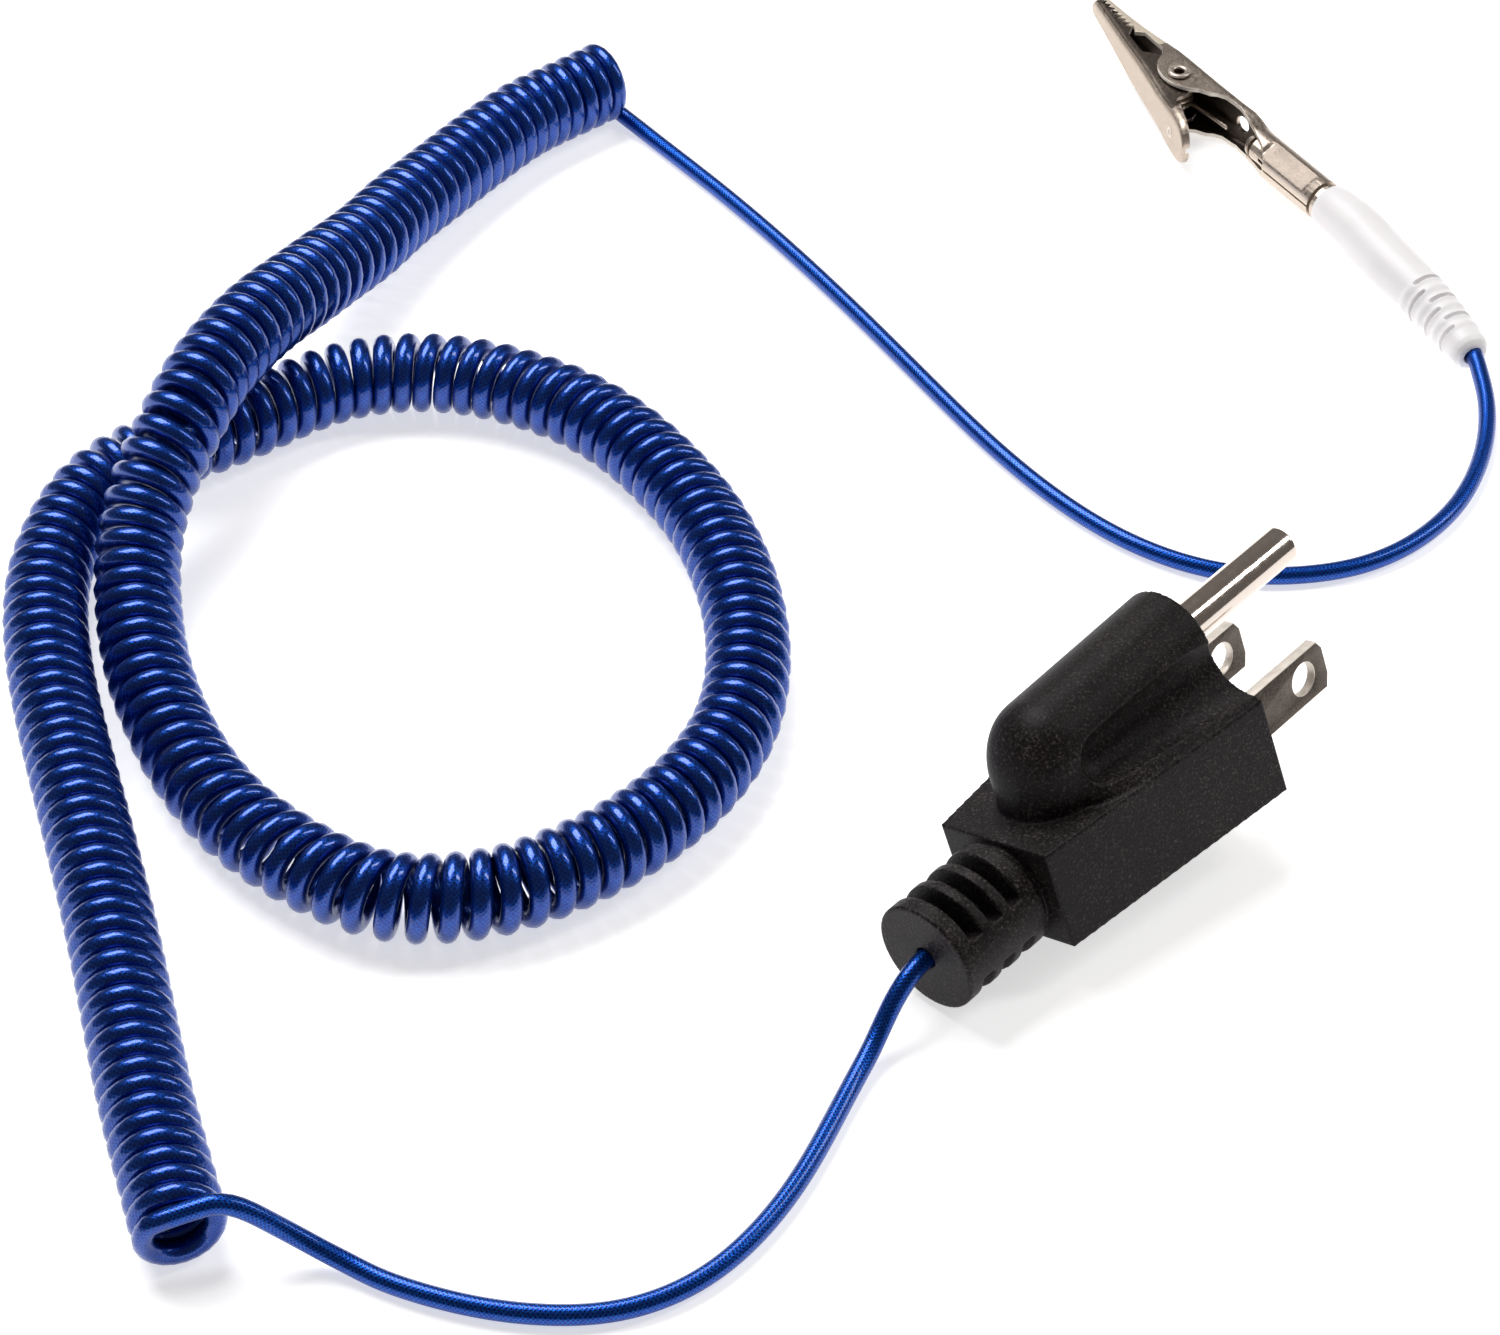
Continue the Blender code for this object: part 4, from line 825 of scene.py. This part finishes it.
def press_flat(bm):
    """Press a flat along the barrel in bm, and give the way it faces."""
    flat = Vector((0, math.sin(BARREL_FLAT_ANGLE), math.cos(BARREL_FLAT_ANGLE)))
    for vert in bm.verts:
        x, y, z = vert.co
        out = vert.co.dot(flat)
        if x < 12.5 * MM and out > 0:
            inside = min(1.0, max(0.0, min(x - 1.4 * MM, 11.7 * MM - x) / (0.35 * MM)))
            level = BARREL_FLAT_LEVEL if math.hypot(y, z) > 2.5 * MM else BARREL_FLAT_LEVEL - 0.4 * MM
            vert.co -= flat * (max(0.0, out - level) * inside)
    return flat


def clip_frame(materials):
    """Fixed jaw, ears, tail and rolled barrel, folded from one sheet."""
    depth = 11.0 * MM
    stations = np.array((
        # x, half width of the middle line, y of the back's middle line, bend radius, all in millimetres
        (56.2, 1.0, -2.95, 0.5), (55.0, 1.2, -2.9, 0.6), (50.0, 1.55, -2.6, 0.7), (45.0, 2.0, -2.35, 0.8),
        (40.0, 2.75, -2.1, 0.9), (36.0, 3.4, -1.85, 1.0), (33.0, 3.5, -1.75, 1.0), (26.0, 3.5, -1.65, 1.0),
        (21.0, 3.4, -1.8, 1.0), (18.5, 3.2, -2.1, 1.0),
    ))

    def station(x, column):
        return np.interp(-x, -stations[:, 0], stations[:, column]) * MM

    rings = []
    for x in np.concatenate([np.arange(56.2, 18.6, -0.9), [18.5]]):
        line = channel_path(station(x, 1), depth, station(x, 3)) + (0, station(x, 2))
        rings.append(sheet_ring(x * MM, line))
    roll = barrel_path(BARREL_RADIUS - SHEET / 2)
    start = channel_path(3.1 * MM, depth, 1.0 * MM) + (0, -2.15 * MM)
    for i in range(1, 9):
        t = i / 8
        ease = t * t * (3 - 2 * t)
        low = start.copy()
        low[:, 1] = np.minimum(low[:, 1], (1.2 + 7.0 * (1 - ease)) * MM)
        rings.append(sheet_ring((18.5 - 4.5 * t) * MM, low + (roll - low) * ease))
    for x in np.concatenate([[13.2, 12.6, 12.0], np.arange(11.7, 1.1, -0.25), [1.0, 0.5, 0.0]]):
        rings.append(sheet_ring(x * MM, roll))
    bm = bmesh.new()
    loft(bm, rings)
    flat = press_flat(bm)
    hole = bmesh.new()
    through_back = Matrix.Translation((20.4 * MM, 0, 0)) @ Matrix.Rotation(math.radians(90), 4, "X")
    turned(hole, ((0, 0), (1.25 * MM, 0), (1.25 * MM, 5 * MM), (0, 5 * MM)), 48, through_back)
    made = combined("skin_clip_frame", bm, (
        ("INTERSECT", prism(frame_outline(), 6.1 * MM)),
        ("DIFFERENCE", prism(circle(RIVET_HOLE, 48, RIVET_AT), 6 * MM)),
        ("DIFFERENCE", hole),
    ))
    bevelled(made, EDGE_HIGHLIGHT)
    ear_front = 39.5 * MM
    sheet_finish(made, Vector((0, 1, 0)), 22.0 * MM, ear_front, lambda at: at.y - station(at.x / MM, 2))
    for face in made.data.polygons:
        x = face.center.x
        # Walls in front of the ear take a lighter copy of the plating: painted light.
        if face.material_index == BACK and x > ear_front and abs(face.normal.z) > 0.8:
            face.material_index = TIP_LIT
        # Faces of the barrel's pressed flat take a darker copy of the plating: painted shade.
        elif x < 12 * MM and face.normal.dot(flat) > 0.97 and face.center.dot(flat) > 2.2 * MM:
            face.material_index = FLAT
    finished(made, CLIP, materials, "clip", "clip_frame")


def clip_jaw(materials):
    """The sprung jaw, folded from one sheet, and its thumb lever with a small pressed ring."""
    tip, end = Vector((56.1 * MM, -0.75 * MM, 0)), Vector((20.3 * MM, 9.6 * MM, 0))
    along = (end - tip).normalized()
    inward = Vector((-along.y, along.x, 0))
    stations = np.array((
        # way from the tip, half width of the middle line, bend radius, all in millimetres
        (0.0, 0.75, 0.5), (0.25, 1.05, 0.6), (0.9, 1.3, 0.7), (6.0, 1.6, 0.8), (13.0, 2.05, 0.8),
        (19.0, 2.5, 0.9), (23.0, 2.6, 0.9), (28.0, 2.6, 0.9), (31.0, 2.95, 0.9), (33.5, 3.2, 0.9),
        (35.4, 3.15, 0.9), (36.5, 2.8, 0.8), (37.3, 2.2, 0.7), (37.85, 1.4, 0.5), (38.1, 0.7, 0.35),
    ))
    ways = np.concatenate([[0.0, 0.25, 0.55], np.arange(0.9, 30.0, 0.9), np.arange(30.2, 37.5, 0.3),
                           [37.6, 37.85, 38.0, 38.1]])
    rings = []
    for way in ways:
        wide, bend = (np.interp(way, stations[:, 0], stations[:, k]) * MM for k in (1, 2))
        base = tip + along * (way * MM)
        rings.append([base + inward * (y + SHEET / 2) + Vector((0, 0, z))
                      for _, y, z in sheet_ring(0.0, folded_path(wide, 12.0 * MM, bend))])
    bm = bmesh.new()
    loft(bm, rings)
    made = combined("skin_clip_jaw", bm, (
        ("INTERSECT", prism(jaw_outline(), 6.1 * MM)),
        ("DIFFERENCE", prism(circle(RIVET_HOLE, 48, RIVET_AT), 6 * MM)),
    ))
    bevelled(made, EDGE_HIGHLIGHT)
    sheet_finish(made, inward, 25.2 * MM, 60 * MM, lambda at: (at - tip).dot(inward))
    finished(made, CLIP, materials, "jaw", "clip_jaw")
    ring = bmesh.new()
    section = [(PRESSED_RING_RADIUS + PRESSED_RING_WIRE * math.cos(a), 0.09 * MM * math.sin(a))
               for a in map(math.radians, range(0, 360, 30))]
    axes = Matrix((along, (0, 0, 1), -inward)).transposed().to_4x4()
    turned(ring, section, 32, Matrix.Translation(tip + along * PRESSED_RING_AT) @ axes)
    pressed = mesh_object("skin_clip_jaw_ring", ring, 50)
    # The pressed ring takes the edge finish too: a painted highlight on its ridge.
    finished(pressed, CLIP, (materials[EDGE_HIGHLIGHT],), "jaw", "clip_jaw")


def clip_rivet(materials):
    """A hollow rivet with a rolled head at each end."""
    shank, bore, under_head = 1.15 * MM, 0.62 * MM, 3.9 * MM
    head = [(1.18 * MM + 0.42 * MM * math.cos(a), 4.14 * MM + 0.3 * MM * math.sin(a))
            for a in map(math.radians, range(-60, 181, 15))]
    half = [(shank, 0.0), (shank, under_head), *head, (bore, under_head), (bore, 0.0)]
    profile = half + [(r, -z) for r, z in reversed(half[1:-1])]
    bm = bmesh.new()
    turned(bm, profile, 64)
    made = mesh_object("skin_clip_rivet", bm, 50)
    # Faces of the bore take the dark inner copy of the plating: painted shade in the hollow.
    for face in made.data.polygons:
        face.material_index = 1 if math.hypot(face.center.x, face.center.y) < 0.7 * MM else 0
    finished(made, CLIP @ Matrix.Translation((*RIVET_AT, 0)), materials, "clip", "clip_rivet")


def clip_spring(steel):
    """A torsion spring round the rivet. One leg rests on the frame's back; the other reaches towards the
    lever.
    """
    radius, turns, pitch = 1.95, 3, 0.95  # millimetres
    low = -turns * pitch / 2
    points = [(-8.6, -2.75, low), (-4.0, -2.35, low)]
    for i in range(turns * 24 + 11):
        a = math.radians(-90 + 15 * i)
        points.append((radius * math.cos(a), radius * math.sin(a), low + pitch * i / 24))
    high = points[-1][2]
    points += [(-4.6, 3.0, high), (-7.6, 5.0, high)]
    place = CLIP @ Matrix.Translation((*RIVET_AT, 0))
    wire = np.array([place @ (Vector(p) * MM) for p in spline(points, 0.15)])
    made = tube_mesh("skin_clip_spring", wire, SPRING_WIRE, 12)
    paint(made, steel)
    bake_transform(made)
    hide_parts("clip_spring")


BOOT_LINE = (
    (-1.2, 0.0, 0.0), (-5.0, 0.0, 0.0), (-9.0, 0.2, -0.12), (-14.0, 0.8, -0.35), (-22.0, 1.3, -0.55),
    (-29.5, 1.9, -1.1), (-36.6, 3.1, -1.55),
)
BOOT_SHAPE = (
    # share of the length, outside radius in millimetres
    (0.0, 2.95), (0.012, 3.2), (0.06, 3.42), (0.16, 3.62), (0.28, 3.75), (0.42, 3.7), (0.56, 3.5),
    (0.62, 3.38), (0.7, 3.22), (0.78, 3.05), (0.86, 2.88), (0.93, 2.78), (0.965, 2.72), (0.985, 2.5),
    (1.0, 2.0),
)
BOOT_STEPS = 200
BOOT_VOXEL = 0.12 * MM
GROOVES, GROOVE_START, GROOVE_PITCH = 6, 0.635, 0.052  # the last two are shares of the boot's length


def line_frames(points):
    """Each point with the line's direction there, and its directions to the side and up."""
    frames = []
    points = [Vector(p) for p in points]
    for i, point in enumerate(points):
        ahead = (points[min(i + 1, len(points) - 1)] - points[max(i - 1, 0)]).normalized()
        side = ahead.cross(Vector((0, 0, 1))).normalized()
        frames.append((point, ahead, side, side.cross(ahead)))
    return frames


def round_along(bm, frames, radii, count):
    """A round body along the frames, with a radius at each."""
    loft(bm, [[place + x * side + y * up for x, y in circle(radius, count)]
              for (place, _, side, up), radius in zip(frames, radii)])


def clip_boot(white):
    """The white boot on the banana plug, with staggered grooves where it flexes round the cord."""
    line = evenly(spline(BOOT_LINE, 0.2), BOOT_STEPS + 1) * MM
    frames = line_frames(line)
    shares, widths = np.array(BOOT_SHAPE).T
    along = np.linspace(0, 1, BOOT_STEPS + 1)
    ribs = 0.5 - 0.5 * np.cos(math.tau * (along - GROOVE_START + GROOVE_PITCH / 2) / GROOVE_PITCH)
    ribs[(along <= 0.61) | (along >= 0.92)] = 0.0
    radii = [float(r) * MM for r in np.interp(along, shares, widths) + 0.16 * ribs]
    body = bmesh.new()
    round_along(body, frames, radii, 64)
    slots = bmesh.new()
    for i in range(GROOVES):
        place, ahead, side, up = frames[round((GROOVE_START + GROOVE_PITCH * i) * BOOT_STEPS)]
        lie = Matrix.Translation(place) @ Matrix((side, up, -ahead)).transposed().to_4x4()
        first = 105 if i % 2 == 0 else 15
        for middle in (first, first - 180):
            arc_slot(slots, 2.35 * MM, 4.6 * MM, -0.26 * MM, 0.26 * MM, math.radians(middle),
                     math.radians(50), lie)
    socket = bmesh.new()
    inward = Matrix.Translation((1.0 * MM, 0, 0)) @ Matrix.Rotation(math.radians(-90), 4, "Y")
    turned(socket, ((0, 0), (2.95 * MM, 0), (2.95 * MM, 2.75 * MM), (2.05 * MM, 2.95 * MM),
                    (2.05 * MM, 10.2 * MM), (0, 10.2 * MM)), 64, inward)
    bore = bmesh.new()
    reach = frames[BOOT_STEPS // 5 :] + [(Vector(line[-1] + (line[-1] - line[-2]) * 6), *frames[-1][1:])]
    round_along(bore, reach, [CORD_RADIUS + 0.12 * MM] * len(reach), 32)
    boot = combined("skin_clip_boot", body, [("DIFFERENCE", cut) for cut in (slots, socket, bore)])
    softened(boot, BOOT_VOXEL)
    finished(boot, CLIP, (white,), "plug_and_cord", "clip_boot")


# ---- cord


def coil_path():
    """The cord's own line through the curly stretch, from the clip's end, and its radius there, in metres."""
    route = spline(COIL_ROUTE, 0.5)
    at = lengths(route)
    ahead = unit(np.gradient(route, axis=0))
    across = unit(np.cross(ahead, (0.0, 0.0, 1.0)))
    up = np.cross(across, ahead)
    pitch = np.interp(at, *np.array(COIL_PITCH, float).T)
    wound = np.concatenate([[0.0], np.cumsum(np.diff(at) / ((pitch[1:] + pitch[:-1]) / 2))])
    wound *= COIL_TURNS / wound[-1]
    turns = np.linspace(0, COIL_TURNS, int(COIL_TURNS * POINTS_PER_TURN) + 1)
    s = np.interp(turns, wound, at)

    def along(values):
        return np.stack([np.interp(s, at, values[:, k]) for k in range(3)], axis=1)

    share = s / at[-1]
    outer = COIL_RADIUS + (COIL_END_RADIUS - COIL_RADIUS) * np.clip(2 - share / COIL_WIDE_SHARE, 0, 1)
    rng = np.random.default_rng(5)
    strays = rng.normal(0, 0.05, int(COIL_TURNS) + 3)
    wander = np.interp(turns, np.arange(len(strays)), strays)
    thick = np.minimum(COILED_RADIUS / MM, np.interp(s, at, pitch) * TURN_FILL)
    radius = outer / MM - thick
    phase = turns * math.tau - math.pi / 2
    centre = along(route) + wander[:, None] * along(ahead)
    out = np.cos(phase)[:, None] * along(across) + np.sin(phase)[:, None] * along(up)
    line = centre + radius[:, None] * out
    ends = np.minimum(turns, COIL_TURNS - turns)
    thick = CORD_RADIUS / MM + (thick - CORD_RADIUS / MM) * np.clip(ends / 0.8, 0, 1)
    return line * MM, thick * MM


def joined(first, second, reach):
    """Two stretches of path in one, eased where they meet."""
    path = np.concatenate([first, second])
    at = lengths(path)
    meet = at[len(first)]
    near = np.clip(1 - np.abs(at - meet) / reach, 0, 1)[:, None]
    near[0] = near[-1] = 0
    for _ in range(40):
        eased = path.copy()
        eased[1:-1] = (path[:-2] + path[2:]) / 2
        path = path + (eased - path) * near * 0.5
    return path


def make_cord(coiled, straight):
    """The whole cord as one tube, from inside the strain relief to inside the boot."""
    coil, thick = coil_path()
    inside = [PLUG @ Vector((0, y * MM, RELIEF_Z)) / MM for y in (-47.6, -45.0, -40.0, -35.0, -29.3)]
    plug_lead = spline(np.concatenate([[coil[-1] / MM], PLUG_LEAD_ROUTE, inside]), LEAD_STEP) * MM
    clip_lead = spline(np.concatenate([[coil[0] / MM], CLIP_LEAD_ROUTE]), LEAD_STEP) * MM
    path = joined(plug_lead[::-1][:-1], coil[::-1], 3 * MM)
    path = joined(path, clip_lead[1:], 3 * MM)
    before, after = len(plug_lead) - 1, len(clip_lead) - 1
    radii = np.concatenate([np.full(before, CORD_RADIUS), thick[::-1], np.full(after, CORD_RADIUS)])
    cord = tube_mesh("cord", path, radii, CORD_SIDES)
    paint(cord, coiled)
    cord.data.materials.append(straight)
    uv = cord.data.uv_layers["along_and_round"].data
    run = lengths(path)
    for face in cord.data.polygons:
        if not run[before] < uv[face.loop_start].uv.x < run[-after]:
            face.material_index = 1
    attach(cord, "plug_and_cord")
    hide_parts("cord_end_plug", "cord_lead_plug", "cord_coil", "cord_lead_clip")


def paint_kept(nodes, satin):
    """Finishes for the CAD pieces that no piece above replaces: the banana plug, and what is inside."""
    nylon = plain("nylon", (0.55, 0.54, 0.5), 0.5)
    resistor = plain("resistor_coat", (0.62, 0.5, 0.33), 0.5)
    green = plain("green_insulation", (0.03, 0.28, 0.07), 0.45)
    tinned = plain("tinned", (0.75, 0.75, 0.75), 0.35, 1.0)
    jacket = plain("cord_jacket", (0.01, 0.05, 0.3), 0.3)
    finishes = {
        "banana_body": satin, "banana_cage": satin, "plug_insert": nylon, "resistor_sleeve": nylon,
        "resistor_body": resistor, "resistor_lead_front": tinned, "resistor_lead_rear": tinned,
        "ground_wire": green, "ground_crimp": tinned, "cord_crimp": tinned, "cord_end_clip": jacket,
    }
    for name, material in finishes.items():
        paint(nodes[name], material)


def main():
    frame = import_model()
    room()
    # The straight leads take a lighter copy of the coil's blue (lift 1.1 against 0.98): painted light on one
    # and the same cord.
    make_cord(cord_blue("cord_blue_coiled", 0.98, 0.28, 0.6), cord_blue("cord_blue_straight", 1.1, 0.5, 0.3))
    make_plug(black_pvc())
    satin = nickel("nickel_satin", (0.64, 0.55, 0.47), 0.36, 0.12, 2800.0, 0.9)
    # A darker copy of the plating for the frame's walls by the ear: painted shade.
    ear = nickel("nickel_ear", (0.46, 0.39, 0.33), 0.42, 0.4, 4600.0, 0.5)
    # A much darker copy of the plating for the jaw's walls: painted shade.
    wall = nickel("nickel_wall", (0.2, 0.165, 0.14), 0.36, 0.5, 4600.0, 0.4)
    # A much darker copy of the plating for the channel's inside and the rivet's bore: painted shade.
    inside = nickel("nickel_inside_shade", (0.09, 0.072, 0.058), 0.45, 0.3, 3000.0, 0.5)
    # A lighter, less metallic copy of the plating for broken and cut edges: a painted highlight.
    edge_highlight = nickel("nickel_edge_highlight", (0.86, 0.79, 0.71), 0.4, 0.03, 900.0, 0.9, metallic=0.4)
    # A lighter copy of the plating for the frame's walls in front of the ear: painted light.
    tip = nickel("nickel_tip_lit", (0.85, 0.75, 0.62), 0.4, 0.25, 4600.0, 0.8, metallic=0.5)
    # A darker copy of the plating for the barrel's pressed flat: painted shade.
    flat = nickel("nickel_flat", (0.3, 0.255, 0.22), 0.42, 0.4, 4600.0, 0.4)
    lever = nickel("nickel_lever", (0.55, 0.465, 0.39), 0.42, 0.12, 2800.0, 0.88)
    brushed = nickel("nickel_brushed", (0.135, 0.11, 0.092), 0.36, 0.8, 4200.0, 0.22)
    rivet = nickel("nickel_rivet", (0.62, 0.54, 0.47), 0.3, 0.1, 2800.0, 0.85, metallic=0.7)
    pin = nickel("nickel_pin", (0.68, 0.6, 0.54), 0.1, 0.02, 900.0, 0.95, metallic=0.88)
    make_pins(brushed, edge_highlight, pin)
    clip_frame((ear, satin, edge_highlight, inside, tip, flat))
    clip_jaw((wall, lever, edge_highlight, inside))
    clip_rivet((rivet, inside))
    clip_spring(satin)
    clip_boot(white_pvc())
    paint_kept(frame["nodes"], satin)


main()
